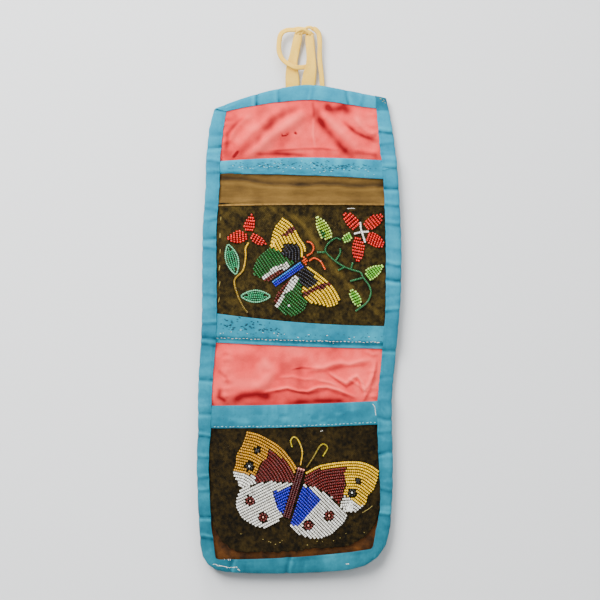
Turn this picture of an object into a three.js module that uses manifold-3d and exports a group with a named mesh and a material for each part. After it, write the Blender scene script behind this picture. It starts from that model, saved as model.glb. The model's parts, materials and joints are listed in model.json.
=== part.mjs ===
// Beaded wall pouch: a bound cloth backing with two velvet pockets worked in glass seed beads.
// Millimetres, +Z up. The knot that hangs on a nail is at the origin, the wall is the plane y = 0,
// and the pouch faces -Y. Depths are measured forward from the wall.
import * as THREE from 'three';
import { mergeVertices } from 'three/addons/utils/BufferGeometryUtils.js';
import Module from 'manifold-3d';

const wasm = await Module();
wasm.setup();

// Driving dimensions of the backing, in millimetres.
const panelWidth = 123;
const knotToPeak = 34;
const peakAcross = 7.9;
const leftShoulderFall = 15.2;
const rightShoulderFall = 8.7;
const leftCornerRadius = 16;
const rightCornerRadius = 23;
const bindingShow = 8.6;
const topBindingShow = 9.5;
const bottomBindingShow = 10.4;
const leftMitreRise = 6;
const rightMitreRise = 2;

// Heights down the middle of the front, from the peak of the top edge.
const peakToMouth = 46.5;
const upperMouthHeight = 10.8;
const facingHeight = 18.4;
const upperVelvetHeight = 72.2;
const seamTapeHeight = 15;
const lowerWindowHeight = 35;
const lowerMouthHeight = 14;
const lowerPocketHeight = 81.1;

// Cloth, seams and clearances.
const cloth = 0.4;
const gap = 0.3;
const velvetPile = 0.8;
const foldRun = 2.2;
const pocketBelly = 9;
const seamAllowance = 4.5;
const facingLap = 2.5;
const mouthTurn = 9;
const velvetMargin = 1.6;
const velvetCornerRadius = 18;

// Beadwork.
const beadPitch = 1.8;
const beadHeight = 1.5;
const beadCrease = 0.7;
const strandWidth = 1.5;
const lanesInLowerBody = 3;

// Hanger tape.
const legWidth = 8.8;
const legWaist = 5.6;
const legSewnLength = 18;
const tailWidth = 3;
const tailThickness = 1.2;
const knotWidth = 9.3;
const knotHeight = 5.6;
const knotDepth = 4;

// Depth of the back of each ply, from the wall forward.
const ply = cloth + gap;
const bindingBackDepth = ply;
const coverDepth = 2 * ply;
const liningDepth = 3 * ply;
const mouthBackDepth = 4 * ply;
const pocketDepth = 5 * ply;
const velvetDepth = 6 * ply;
const velvetFront = velvetDepth + velvetPile;
const trimDepth = velvetFront + gap;
const trimFront = trimDepth + cloth;
const edgeInset = foldRun + gap;

const halfWidth = panelWidth / 2;
const peakZ = -knotToPeak;
const bottomZ = peakZ - peakToMouth - upperMouthHeight - facingHeight - upperVelvetHeight
  - seamTapeHeight - lowerWindowHeight - lowerMouthHeight - lowerPocketHeight - bottomBindingShow;

const colours = {
  binding: 0x5fb4cd,
  bindingLow: 0x4796b4,
  pink: 0xf07878,
  brown: 0xa57d41,
  rust: 0x8c5019,
  velvet: 0x3c3014,
  tape: 0xebd78c,
  yellow: 0xebcd3c,
  ochre: 0xdca019,
  green: 0x28783c,
  white: 0xebebdc,
  darkRed: 0x821e14,
  blue: 0x2828c8,
  black: 0x191428,
  red: 0xdc3c28,
  mint: 0x78c8a0,
  budGreen: 0x96dc6e,
  stemGreen: 0x1e6e46,
  orange: 0xdc5a28,
  maroon: 0x551414,
  olive: 0xb4a032,
};

const { lerp, clamp, smoothstep } = THREE.MathUtils;

// Small tools for outlines and curves.
function stationed(stations, share) {
  const last = stations.length - 1;
  let i = 0;
  while (i < last - 1 && share > stations[i + 1][0]) {
    i += 1;
  }
  const [from, a] = stations[i];
  const [to, b] = stations[i + 1];
  return lerp(a, b, clamp((share - from) / (to - from), 0, 1));
}

function evenly(from, to, steps) {
  return Array.from({ length: steps + 1 }, (_, i) => lerp(from, to, i / steps));
}

function roundedCorner(start, corner, end, steps) {
  const curve = new THREE.QuadraticBezierCurve(
    new THREE.Vector2(...start),
    new THREE.Vector2(...corner),
    new THREE.Vector2(...end),
  );
  return curve.getPoints(steps).map((p) => [p.x, p.y]);
}

function signedArea(loop) {
  return THREE.ShapeUtils.area(loop.map(([x, z]) => new THREE.Vector2(x, z)));
}

// Moves every side of a closed outline inwards by the same distance.
function insetOutline(loop, distance) {
  const turn = Math.sign(signedArea(loop));
  return loop.map((point, i) => {
    const before = loop[(i + loop.length - 1) % loop.length];
    const after = loop[(i + 1) % loop.length];
    const a = new THREE.Vector2(point[0] - before[0], point[1] - before[1]).normalize();
    const b = new THREE.Vector2(after[0] - point[0], after[1] - point[1]).normalize();
    const bisector = new THREE.Vector2(-a.y - b.y, a.x + b.x).normalize();
    const reach = turn * distance / Math.max(0.5, bisector.dot(new THREE.Vector2(-a.y, a.x)));
    return [point[0] + bisector.x * reach, point[1] + bisector.y * reach];
  });
}

// Solids from points: a closed mesh always has its faces turned outwards.
function closedMesh(points, triangles) {
  let volume = 0;
  triangles.forEach(([i, j, k]) => {
    volume += points[i].dot(new THREE.Vector3().crossVectors(points[j], points[k]));
  });
  const faces = volume < 0 ? triangles.map(([i, j, k]) => [i, k, j]) : triangles;
  const geometry = new THREE.BufferGeometry();
  geometry.setAttribute('position', new THREE.Float32BufferAttribute(points.flatMap((p) => p.toArray()), 3));
  geometry.setIndex(faces.flat());
  return geometry;
}

// A patch of cloth given by its front and back points in rows and columns.
function gridSolid(front, back) {
  const rows = front.length;
  const columns = front[0].length;
  const count = rows * columns;
  const at = (row, column) => row * columns + column;
  const triangles = [];
  for (let r = 0; r < rows - 1; r += 1) {
    for (let c = 0; c < columns - 1; c += 1) {
      const corner = [at(r, c), at(r + 1, c), at(r, c + 1), at(r + 1, c + 1)];
      triangles.push([corner[0], corner[1], corner[2]], [corner[2], corner[1], corner[3]]);
      triangles.push([corner[0] + count, corner[2] + count, corner[1] + count]);
      triangles.push([corner[2] + count, corner[3] + count, corner[1] + count]);
    }
  }
  const rim = [];
  for (let c = 0; c < columns; c += 1) {
    rim.push(at(0, c));
  }
  for (let r = 1; r < rows; r += 1) {
    rim.push(at(r, columns - 1));
  }
  for (let c = columns - 2; c >= 0; c -= 1) {
    rim.push(at(rows - 1, c));
  }
  for (let r = rows - 2; r > 0; r -= 1) {
    rim.push(at(r, 0));
  }
  rim.forEach((a, i) => {
    const b = rim[(i + 1) % rim.length];
    triangles.push([a, b, a + count], [b, b + count, a + count]);
  });
  return closedMesh([...front.flat(), ...back.flat()], triangles);
}

// A solid swept through rings of points, closed at both ends. The flat section gives the end faces.
function loft(rings, flatSection) {
  const size = rings[0].length;
  const triangles = [];
  for (let k = 0; k < rings.length - 1; k += 1) {
    for (let i = 0; i < size; i += 1) {
      const a = k * size + i;
      const b = k * size + ((i + 1) % size);
      triangles.push([a, a + size, b], [b, a + size, b + size]);
    }
  }
  const contour = flatSection.map(([u, v]) => new THREE.Vector2(u, v));
  const turn = Math.sign(THREE.ShapeUtils.area(contour));
  const last = (rings.length - 1) * size;
  THREE.ShapeUtils.triangulateShape(contour, []).forEach(([i, j, k]) => {
    const sameTurn = Math.sign(THREE.ShapeUtils.area([contour[i], contour[j], contour[k]])) === turn;
    const [p, q] = sameTurn ? [j, k] : [k, j];
    triangles.push([i, p, q], [i + last, q + last, p + last]);
  });
  return closedMesh(rings.flat(), triangles);
}

// Joins and cuts.
function toSolid(geometry) {
  const plain = geometry.clone();
  plain.deleteAttribute('normal');
  plain.deleteAttribute('uv');
  const merged = mergeVertices(plain, 1e-5);
  return new wasm.Manifold(new wasm.Mesh({
    numProp: 3,
    vertProperties: new Float32Array(merged.attributes.position.array),
    triVerts: new Uint32Array(merged.index.array),
  }));
}

function toGeometry(solid) {
  const mesh = solid.getMesh();
  const geometry = new THREE.BufferGeometry();
  geometry.setAttribute('position', new THREE.Float32BufferAttribute(mesh.vertProperties, 3));
  geometry.setIndex(Array.from(mesh.triVerts));
  return geometry;
}

function joined(geometries) {
  return toGeometry(geometries.map(toSolid).reduce((all, next) => all.add(next)));
}

// Extrudes an outline in the plane of the wall forwards, from one depth to another.
function plate(outline, fromDepth, toDepth) {
  const shape = new THREE.Shape(outline.map(([x, z]) => new THREE.Vector2(x, z)));
  const geometry = new THREE.ExtrudeGeometry(shape, { depth: toDepth - fromDepth, bevelEnabled: false });
  geometry.rotateX(Math.PI / 2);
  geometry.translate(0, -fromDepth, 0);
  return geometry;
}

const pouch = new THREE.Group();

function addPiece(name, geometry, colour, roughness = 0.9) {
  const material = new THREE.MeshStandardMaterial({ color: colour, roughness, metalness: 0 });
  const mesh = new THREE.Mesh(geometry, material);
  mesh.name = name;
  pouch.add(mesh);
}

// Lines across the front. None is level: each has its height in the middle and its rise at both sides.
function crossLine(middle, leftRise, rightRise) {
  const bend = (leftRise + rightRise) / 2;
  const tilt = (rightRise - leftRise) / 2;
  return (x) => middle + bend * (x / halfWidth) ** 2 + tilt * (x / halfWidth);
}

const upperMouthZ = peakZ - peakToMouth;
const facingTopZ = upperMouthZ - upperMouthHeight;
const upperVelvetZ = facingTopZ - facingHeight;
const seamTopZ = upperVelvetZ - upperVelvetHeight;
const seamBottomZ = seamTopZ - seamTapeHeight;
const lowerMouthZ = seamBottomZ - lowerWindowHeight;
const lowerVelvetZ = lowerMouthZ - lowerMouthHeight;
const lowerBottomZ = lowerVelvetZ - lowerPocketHeight;

const upperMouthLine = crossLine(upperMouthZ, -2, -1.2);
const facingTopLine = crossLine(facingTopZ, 2, -1.8);
const upperVelvetLine = crossLine(upperVelvetZ, -0.3, 0.3);
const seamTopLine = crossLine(seamTopZ, 7, -2.4);
const seamBottomLine = crossLine(seamBottomZ, 3, -1.6);
const lowerMouthLine = crossLine(lowerMouthZ, -1.7, 1.8);
const lowerVelvetLine = crossLine(lowerVelvetZ, -1.6, 1.3);
const lowerBottomLine = crossLine(lowerBottomZ, -1.6, 7);
const bottomLine = crossLine(bottomZ, 1.8, 6);

// The top edge slopes from the peak to both shoulders, bent on the left and nearly straight on the right.
const leftBend = 1.65;
const rightBend = 1.15;
function topSlope(x, highest, leftFall, rightFall) {
  const share = x < peakAcross
    ? (peakAcross - x) / (halfWidth - leftCut[0][1] + peakAcross)
    : (x - peakAcross) / (halfWidth - rightCut[0][1] - peakAcross);
  return highest - (x < peakAcross ? leftFall * share ** leftBend : rightFall * share ** rightBend);
}

// The sides were cut by eye: [share of the way down, how far the edge lies inside the widest line].
const leftCut = [[0, 8.5], [0.03, 5.6], [0.11, 3.2], [0.17, 3.2], [0.26, 1.1], [0.46, 0.8], [0.53, -0.4],
  [0.6, -2], [0.68, -1.4], [0.76, -2.6], [0.86, -1.5], [1, 1]];
const rightCut = [[0, 7.6], [0.03, 5.4], [0.08, 2.9], [0.13, 1.1], [0.19, -0.3], [0.31, -2], [0.41, -1.6],
  [0.48, 0], [0.55, 1.9], [0.63, 4.1], [0.69, 4.1], [0.75, 3.5], [0.83, 3.6], [0.9, 5], [1, 8]];

// What the front of the binding covers beyond its usual width, at the same shares.
const leftCover = [[0, -1], [0.04, 0.3], [0.26, 0], [0.4, 0.6], [0.52, 0.8], [0.6, 0.3], [0.7, -0.7],
  [0.76, -1.1], [0.86, -0.9], [0.9, -1], [0.94, 0], [1, 1]];
const rightCover = [[0, -1.6], [0.06, 0.2], [0.1, 1], [0.18, 0.7], [0.31, 1.2], [0.41, 0.9], [0.46, 0.1],
  [0.6, 0], [0.66, 0.5], [0.74, 0.5], [0.8, -0.4], [0.86, -1.6], [0.92, 0.2], [1, 0.4]];

const leftShoulderZ = peakZ - leftShoulderFall;
const rightShoulderZ = peakZ - rightShoulderFall;
const downLeft = (z) => clamp((leftShoulderZ - z) / (leftShoulderZ - bottomZ), 0, 1);
const downRight = (z) => clamp((rightShoulderZ - z) / (rightShoulderZ - bottomZ), 0, 1);
const leftEdge = (z) => -halfWidth + stationed(leftCut, downLeft(z));
const rightEdge = (z) => halfWidth - stationed(rightCut, downRight(z));
const leftHem = (z) => leftEdge(z) + bindingShow + stationed(leftCover, downLeft(z));
const rightHem = (z) => rightEdge(z) - bindingShow - stationed(rightCover, downRight(z));

// The belly of a pocket: it swells from its sewn sides and bottom towards its open mouth.
const bellyStart = 1;
function bellyBetween(mouthLine, bottomSeam) {
  return (x, z) => {
    const left = leftHem(z) + bellyStart;
    const right = rightHem(z) - bellyStart;
    const across = clamp((x - left) / (right - left), 0, 1);
    const up = clamp((z - bottomSeam(x)) / (mouthLine(x) - bottomSeam(x)), 0, 1);
    return pocketBelly * Math.sin(Math.PI * across) * Math.sin(Math.PI * up / 2);
  };
}

const upperSeamLine = (x) => seamBottomLine(x) + seamAllowance;
const upperBelly = bellyBetween(upperMouthLine, upperSeamLine);
const lowerBelly = bellyBetween(lowerMouthLine, lowerBottomLine);

// Columns across a pocket: flat under the binding on both sides, and even steps over the belly.
// Where a round corner pulls the ends in, the steps close up against them.
const bellySteps = 8;
const columnStep = 0.4;
function columnsBetween(left, right, z) {
  const over = evenly(leftHem(z) + bellyStart, rightHem(z) - bellyStart, bellySteps);
  const inside = over.map((x, i) => {
    const least = left + columnStep * (i + 1);
    const most = right - columnStep * (bellySteps + 1 - i);
    return clamp(x, least, most);
  });
  return [left, ...inside, right];
}
const columnsAcross = (z) => columnsBetween(leftEdge(z) + edgeInset, rightEdge(z) - edgeInset, z);

// How far a corner of this radius draws the side in, at a height above the corner's foot.
function cornerTuck(rise, radius) {
  const below = clamp(radius - rise, 0, radius);
  return radius - Math.sqrt(radius ** 2 - below ** 2);
}

// Lines at even or chosen shares of the way from one cross line to another.
function linesBetween(top, bottom, shares) {
  return shares.map((share) => (x) => lerp(top(x), bottom(x), share));
}

// A piece of cloth that passes through cross lines. depth and thick are given at each point.
function clothPiece({ lines, columns = columnsAcross, depth, thick = () => cloth }) {
  const points = lines.map((line) => {
    const guesses = columns(line(0));
    return guesses.map((guess, i) => {
      const x = columns(line(guess))[i];
      return [x, line(x)];
    });
  });
  const back = points.map((row) => row.map(([x, z]) => new THREE.Vector3(x, -depth(x, z), z)));
  const front = points.map((row) => row.map(
    ([x, z]) => new THREE.Vector3(x, -depth(x, z) - thick(x, z), z),
  ));
  return gridSolid(front, back);
}

// A strip folded over an edge: a ring of points from the fold to the hem on both faces.
// front and back give the depth of the strip's two outer faces at a point.
const foldShoulder = 0.3;
const foldRoundness = 0.28;
const foldLining = 1.2;
function foldedRing(edge, hem, front, back) {
  const length = Math.hypot(hem[0] - edge[0], hem[1] - edge[1]);
  const at = (run, depthAt) => {
    const x = lerp(edge[0], hem[0], run / length);
    const z = lerp(edge[1], hem[1], run / length);
    return new THREE.Vector3(x, -depthAt(x, z), z);
  };
  const between = (share, shift = 0) => (x, z) => lerp(back(x, z) + shift, front(x, z) - shift, share);
  return [
    at(length, front),
    at(foldRun, front),
    at(foldRun * foldShoulder, between(0.5 + foldRoundness)),
    at(0, between(0.5)),
    at(foldRun * foldShoulder, between(0.5 - foldRoundness)),
    at(foldRun, back),
    at(length, back),
    at(length, between(0, cloth)),
    at(foldRun, between(0, cloth)),
    at(cloth * foldLining, between(0.5)),
    at(foldRun, between(1, cloth)),
    at(length, between(1, cloth)),
  ];
}

const foldedSection = [
  [9, 4], [2, 4], [0.6, 3.1], [0, 2], [0.6, 0.9], [2, 0], [9, 0],
  [9, 0.4], [2, 0.4], [0.5, 2], [2, 3.6], [9, 3.6],
];

// Stations round the side-and-bottom binding, from the right shoulder round to the left one.
const stepRun = 5;
const sideStep = 12;
const cornerSteps = 4;

function sideLevels(topZ, lowZ, edgeX) {
  const keys = [upperMouthLine(edgeX) + stepRun, upperMouthLine(edgeX) + gap,
    seamBottomLine(edgeX) + stepRun * 1.2, seamBottomLine(edgeX) + stepRun * 0.5,
    seamBottomLine(edgeX) - stepRun,
    lowerMouthLine(edgeX) + stepRun, lowerMouthLine(edgeX) + gap];
  const even = evenly(topZ, lowZ, Math.round((topZ - lowZ) / sideStep));
  const spaced = even.filter((z, i) => i === 0 || i === even.length - 1
    || keys.every((key) => Math.abs(key - z) > stepRun * 0.7));
  return [...spaced, ...keys].sort((a, b) => b - a);
}

const innerCornerRadius = 2.5;
function bindingStations() {
  const leftX = leftEdge(bottomZ);
  const rightX = rightEdge(bottomZ);
  const leftInX = leftHem(lowerBottomZ);
  const rightInX = rightHem(lowerBottomZ);
  const down = sideLevels(rightShoulderZ, bottomLine(rightX) + rightCornerRadius, rightX);
  const up = sideLevels(leftShoulderZ, bottomLine(leftX) + leftCornerRadius, leftX).reverse();
  const rightOuter = roundedCorner(
    [rightEdge(down.at(-1)), down.at(-1)],
    [rightX, bottomLine(rightX)],
    [rightX - rightCornerRadius, bottomLine(rightX - rightCornerRadius)],
    cornerSteps,
  );
  const rightInner = roundedCorner(
    [rightInX, lowerBottomLine(rightInX) + innerCornerRadius],
    [rightInX, lowerBottomLine(rightInX)],
    [rightInX - innerCornerRadius, lowerBottomLine(rightInX)],
    cornerSteps,
  );
  const leftOuter = roundedCorner(
    [leftX + leftCornerRadius, bottomLine(leftX + leftCornerRadius)],
    [leftX, bottomLine(leftX)],
    [leftEdge(up[0]), up[0]],
    cornerSteps,
  );
  const leftInner = roundedCorner(
    [leftInX + innerCornerRadius, lowerBottomLine(leftInX)],
    [leftInX, lowerBottomLine(leftInX)],
    [leftInX, lowerBottomLine(leftInX) + innerCornerRadius],
    cornerSteps,
  );
  const bottomShares = evenly(0, 1, 8).slice(1, -1);
  const bottomOuter = bottomShares.map((share) => lerp(rightOuter.at(-1)[0], leftOuter[0][0], share));
  const bottomInner = bottomShares.map((share) => lerp(rightInner.at(-1)[0], leftInner[0][0], share));
  return {
    edge: [
      ...down.slice(0, -1).map((z) => [rightEdge(z), z]),
      ...rightOuter,
      ...bottomOuter.map((x) => [x, bottomLine(x)]),
      ...leftOuter,
      ...up.slice(1, -1).map((z) => [leftEdge(z), z]),
      [leftEdge(leftShoulderZ), leftShoulderZ - gap],
    ],
    hem: [
      [rightHem(rightShoulderZ), topEdgeLine(rightHem(rightShoulderZ))],
      ...down.slice(1, -1).map((z) => [rightHem(z), z]),
      ...rightInner,
      ...bottomInner.map((x) => [x, lowerBottomLine(x)]),
      ...leftInner,
      ...up.slice(1, -1).map((z) => [leftHem(z), z]),
      [leftHem(leftShoulderZ), topHemLine(leftHem(leftShoulderZ)) - gap],
    ],
  };
}

// How far forward the binding's front leg lies: deep over the pockets, shallow over the pink cloth.
const windowLegDepth = liningDepth + cloth + gap;
const pocketLegDepth = trimFront + gap;
function legFront(x, z) {
  const intoUpper = 1 - smoothstep(z, upperMouthLine(x) + gap, upperMouthLine(x) + stepRun);
  const outOfUpper = smoothstep(z, seamBottomLine(x) - stepRun, seamBottomLine(x) + stepRun);
  const intoLower = 1 - smoothstep(z, lowerMouthLine(x) + gap, lowerMouthLine(x) + stepRun);
  const pocket = Math.max(intoUpper * outOfUpper, intoLower);
  return lerp(windowLegDepth, pocketLegDepth, pocket) + cloth;
}
const legBack = () => bindingBackDepth;

// The top binding meets the side strip in a mitre at the left corner and under its square end at the right.
const rightLapX = rightHem(rightShoulderZ) - gap;
const topInnerPeak = peakZ - topBindingShow;
const topEdgeLine = (x) => topSlope(x, peakZ, leftShoulderFall, rightShoulderFall);
const leftHemFall = leftShoulderFall - leftMitreRise;
const rightHemFall = rightShoulderFall - rightMitreRise;
const topHemLine = (x) => topSlope(x, topInnerPeak, leftHemFall, rightHemFall);

const stations = bindingStations();
const topSteps = 12;

function backingOutline() {
  const top = evenly(leftEdge(leftShoulderZ), rightEdge(rightShoulderZ), topSteps)
    .map((x) => [x, topEdgeLine(x)]);
  return insetOutline([...top.slice(0, -1), ...stations.edge.slice(0, -1)], edgeInset);
}

function addBacking() {
  const outline = backingOutline();
  addPiece('back_cover', plate(outline, coverDepth, coverDepth + cloth), colours.pink);
  addPiece('pink_lining', plate(outline, liningDepth, liningDepth + cloth), colours.pink);
}

function addBindings() {
  const sides = stations.edge.map((edge, i) => foldedRing(edge, stations.hem[i], legFront, legBack));
  addPiece('edge_binding', loft(sides, foldedSection), colours.binding);
  const leftX = leftEdge(leftShoulderZ);
  const hemStart = leftHem(leftShoulderZ) - gap;
  const rings = evenly(0, 1, topSteps).map((share) => {
    const edgeX = lerp(leftX + gap, rightLapX, share);
    const hemX = lerp(hemStart, rightLapX, share);
    return foldedRing([edgeX, topEdgeLine(edgeX)], [hemX, topHemLine(hemX)], legFront, legBack);
  });
  addPiece('top_binding', loft(rings, foldedSection), colours.binding);
}

// A mouth binding wraps the top edge of a pocket, with its longer leg in front.
function mouthBinding(topLine, hemLine, belly) {
  const backHem = (x) => topLine(x) - mouthTurn;
  const front = (x, z) => belly(x, z) + trimFront;
  const back = (x, z) => belly(x, z) + mouthBackDepth;
  const columns = columnsAcross(topLine(0));
  const rings = columns.map((x) => {
    const ring = foldedRing([x, topLine(x)], [x, hemLine(x)], front, back);
    [[6, 0], [7, cloth]].forEach(([i, shift]) => {
      ring[i] = new THREE.Vector3(x, -back(x, backHem(x)) - shift, backHem(x));
    });
    return ring;
  });
  return loft(rings, foldedSection);
}

// Both pockets: ribbed cloth behind, velvet on its face, blue tape round the mouth.
const hiddenRows = 5;
const velvetRows = 8;
const facingRowShare = 0.45;
const velvetFootShare = 2;
const underFold = (line) => (x) => line(x) - edgeInset;

function addUpperPocket() {
  const clothDepth = (x, z) => upperBelly(x, z) + pocketDepth;
  const faceDepth = (x, z) => upperBelly(x, z) + velvetDepth;
  const velvetTop = (x) => upperVelvetLine(x) + facingLap;
  const facingStep = (x) => velvetTop(x) + gap;
  const facingDepth = (x, z) => {
    const under = smoothstep(z, facingStep(x), facingStep(x) + facingLap);
    return lerp(upperBelly(x, z) + trimDepth, faceDepth(x, z), under);
  };
  const tapeStep = (x) => upperSeamLine(x) - gap;
  const tapeLow = (x) => upperSeamLine(x) - seamAllowance / 2;
  const tapeDepth = (x, z) => {
    const over = smoothstep(z, tapeLow(x), tapeStep(x));
    return lerp(liningDepth + ply, upperBelly(x, z) + trimDepth, over);
  };
  const top = underFold(upperMouthLine);
  addPiece('upper_pocket_cloth', clothPiece({
    lines: linesBetween(top, upperSeamLine, evenly(0, 1, hiddenRows)), depth: clothDepth,
  }), colours.brown);
  addPiece('upper_pocket_velvet', clothPiece({
    lines: linesBetween(velvetTop, upperSeamLine, evenly(0, 1, velvetRows)), depth: faceDepth,
    thick: () => velvetPile,
  }), colours.velvet);
  addPiece('upper_pocket_facing', clothPiece({
    lines: [...linesBetween(top, facingStep, [0, facingRowShare]), (x) => facingStep(x) + facingLap,
      facingStep, upperVelvetLine],
    depth: facingDepth,
  }), colours.brown);
  addPiece('upper_mouth_binding', mouthBinding(upperMouthLine, facingTopLine, upperBelly), colours.binding);
  addPiece('upper_seam_tape', clothPiece({
    lines: [...linesBetween(seamTopLine, tapeStep, [0, 0.5, 1]), tapeLow, seamBottomLine],
    depth: tapeDepth,
  }), colours.binding);
}

// The lower velvet is cut with round bottom corners and stops short of the seams.
function lowerVelvetColumns(z) {
  const tuck = cornerTuck(z - lowerBottomZ - velvetMargin, velvetCornerRadius);
  return columnsBetween(leftHem(z) - velvetMargin + tuck, rightHem(z) + velvetMargin - tuck, z);
}

// The ribbed cloth behind it follows the backing's own round corners.
function lowerClothColumns(z) {
  const left = leftEdge(z) + edgeInset;
  const right = rightEdge(z) - edgeInset;
  const leftTuck = cornerTuck(z - bottomLine(left) - edgeInset, leftCornerRadius);
  const rightTuck = cornerTuck(z - bottomLine(right) - edgeInset, rightCornerRadius);
  return columnsBetween(left + leftTuck, right - rightTuck, z);
}

function addLowerPocket() {
  const clothDepth = (x, z) => lowerBelly(x, z) + pocketDepth;
  const faceDepth = (x, z) => lowerBelly(x, z) + velvetDepth;
  const velvetBottom = (x) => lowerBottomLine(x) + velvetMargin * velvetFootShare;
  const clothBottom = (x) => bottomLine(x) + edgeInset;
  const top = underFold(lowerMouthLine);
  const cornerShares = [0.9, 0.95, 1];
  addPiece('lower_pocket_cloth', clothPiece({
    lines: linesBetween(top, clothBottom, [...evenly(0, 0.82, 7), ...cornerShares]),
    columns: lowerClothColumns,
    depth: clothDepth,
  }), colours.rust);
  addPiece('lower_pocket_velvet', clothPiece({
    lines: linesBetween(top, velvetBottom, [...evenly(0, 0.84, 7), ...cornerShares]),
    columns: lowerVelvetColumns,
    depth: faceDepth,
    thick: () => velvetPile,
  }), colours.velvet);
  addPiece('lower_mouth_binding', mouthBinding(lowerMouthLine, lowerVelvetLine, lowerBelly),
    colours.bindingLow);
}

// Beadwork was drawn for velvet of this size, and follows it where the pocket is cut larger or smaller.
const drawing = { across: 105.8, upperDown: 73, lowerDown: 80.2 };
const drawnScale = (panelWidth - 2 * bindingShow) / drawing.across;
const groundRows = 8;
const groundColumns = 10;
const cutterDepth = 40;
function velvetGround(topZ, height, drawnHeight, belly) {
  const depth = (x, z) => belly(x, z) + trimDepth;
  const levels = evenly(topZ, topZ - height, groundRows);
  const across = evenly(-halfWidth + bindingShow, halfWidth - bindingShow, groundColumns);
  const atDepth = (depthAt) => levels.map((z) => across.map((x) => new THREE.Vector3(x, -depthAt(x, z), z)));
  return {
    place: ([x, z]) => [x * drawnScale, topZ + z * height / drawnHeight],
    depth,
    ground: toSolid(gridSolid(atDepth(depth), atDepth(() => -cutterDepth))),
  };
}

const upperVelvet = velvetGround(upperVelvetZ, upperVelvetHeight, drawing.upperDown, upperBelly);
const lowerVelvet = velvetGround(lowerVelvetZ, lowerPocketHeight, drawing.lowerDown, lowerBelly);

// A colour field: lanes of beads side by side at one angle, cut to the field's outline.
const laneStep = 16;
function laneField(velvet, outline, laneAngle, pitch = beadPitch) {
  const edge = insetOutline(outline.map(velvet.place), gap / 2);
  const turn = THREE.MathUtils.degToRad(laneAngle);
  const along = ([x, z]) => x * Math.cos(turn) + z * Math.sin(turn);
  const across = ([x, z]) => z * Math.cos(turn) - x * Math.sin(turn);
  const reach = edge.map(along);
  const spread = edge.map(across);
  const start = Math.min(...reach) - gap;
  const end = Math.max(...reach) + gap;
  const firstLane = Math.floor(Math.min(...spread) / pitch);
  const lastLane = Math.ceil(Math.max(...spread) / pitch);
  const lines = [];
  for (let lane = firstLane; lane < lastLane; lane += 1) {
    lines.push([lane * pitch, beadCrease], [(lane + 0.5) * pitch, beadHeight]);
  }
  lines.push([lastLane * pitch, beadCrease]);
  const rows = evenly(start, end, Math.ceil((end - start) / laneStep));
  const point = (a, b, depthAt) => {
    const x = a * Math.cos(turn) - b * Math.sin(turn);
    const z = a * Math.sin(turn) + b * Math.cos(turn);
    return new THREE.Vector3(x, -depthAt(x, z), z);
  };
  const front = rows.map((a) => lines.map(
    ([b, height]) => point(a, b, (x, z) => velvet.depth(x, z) + height),
  ));
  const back = rows.map((a) => lines.map(([b]) => point(a, b, () => 0)));
  const bed = toSolid(gridSolid(front, back));
  return toGeometry(bed.intersect(toSolid(plate(edge, 0, cutterDepth))).subtract(velvet.ground));
}

// A single strand of beads along a path: a stem, a twig or an antenna.
const strandStep = 4;
const strandSection = [[-1, 0], [-1, 0.5], [0, 1], [1, 0.5], [1, 0]];
function strand(velvet, path) {
  const curve = new THREE.CatmullRomCurve3(path.map((point) => {
    const [x, z] = velvet.place(point);
    return new THREE.Vector3(x, 0, z);
  }));
  const steps = Math.max(1, Math.round(curve.getLength() / strandStep));
  const rings = evenly(0, 1, steps).map((share) => {
    const middle = curve.getPointAt(share);
    const way = curve.getTangentAt(share);
    return strandSection.map(([u, height]) => {
      const x = middle.x - way.z * u * strandWidth / 2;
      const z = middle.z + way.x * u * strandWidth / 2;
      return new THREE.Vector3(x, -velvet.depth(x, z) - height * beadHeight, z);
    });
  });
  return loft(rings, strandSection);
}

// A leaf whose bead lanes run from tip to tip, each inside the last.
const leafRows = 6;
const leafBlunt = 0.06;
function lanedLeaf(velvet, tips, width, lanes) {
  const [start, end] = tips.map(velvet.place);
  const long = [end[0] - start[0], end[1] - start[1]];
  const length = Math.hypot(...long);
  const lines = evenly(-1, 1, lanes * 2);
  const rows = evenly(leafBlunt, 1 - leafBlunt, leafRows).map((share) => {
    const half = Math.sin(Math.PI * share) ** 0.75 * width / 2;
    return lines.map((side) => [
      start[0] + long[0] * share - (long[1] / length) * side * half,
      start[1] + long[1] * share + (long[0] / length) * side * half,
    ]);
  });
  const raised = ([x, z], height) => new THREE.Vector3(x, -velvet.depth(x, z) - height, z);
  const front = rows.map((row) => row.map((p, i) => raised(p, i % 2 ? beadHeight : beadCrease)));
  const back = rows.map((row) => row.map((p) => raised(p, 0)));
  return gridSolid(front, back);
}

const beadGloss = 0.25;
function addFields(velvet, fields) {
  fields.forEach(([name, colour, laneAngle, outline, pitch]) => {
    addPiece(name, laneField(velvet, outline, laneAngle, pitch), colour, beadGloss);
  });
}

function addStrands(velvet, strands) {
  strands.forEach(([name, colour, ...paths]) => {
    addPiece(name, joined(paths.map((path) => strand(velvet, path))), colour, beadGloss);
  });
}

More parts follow.
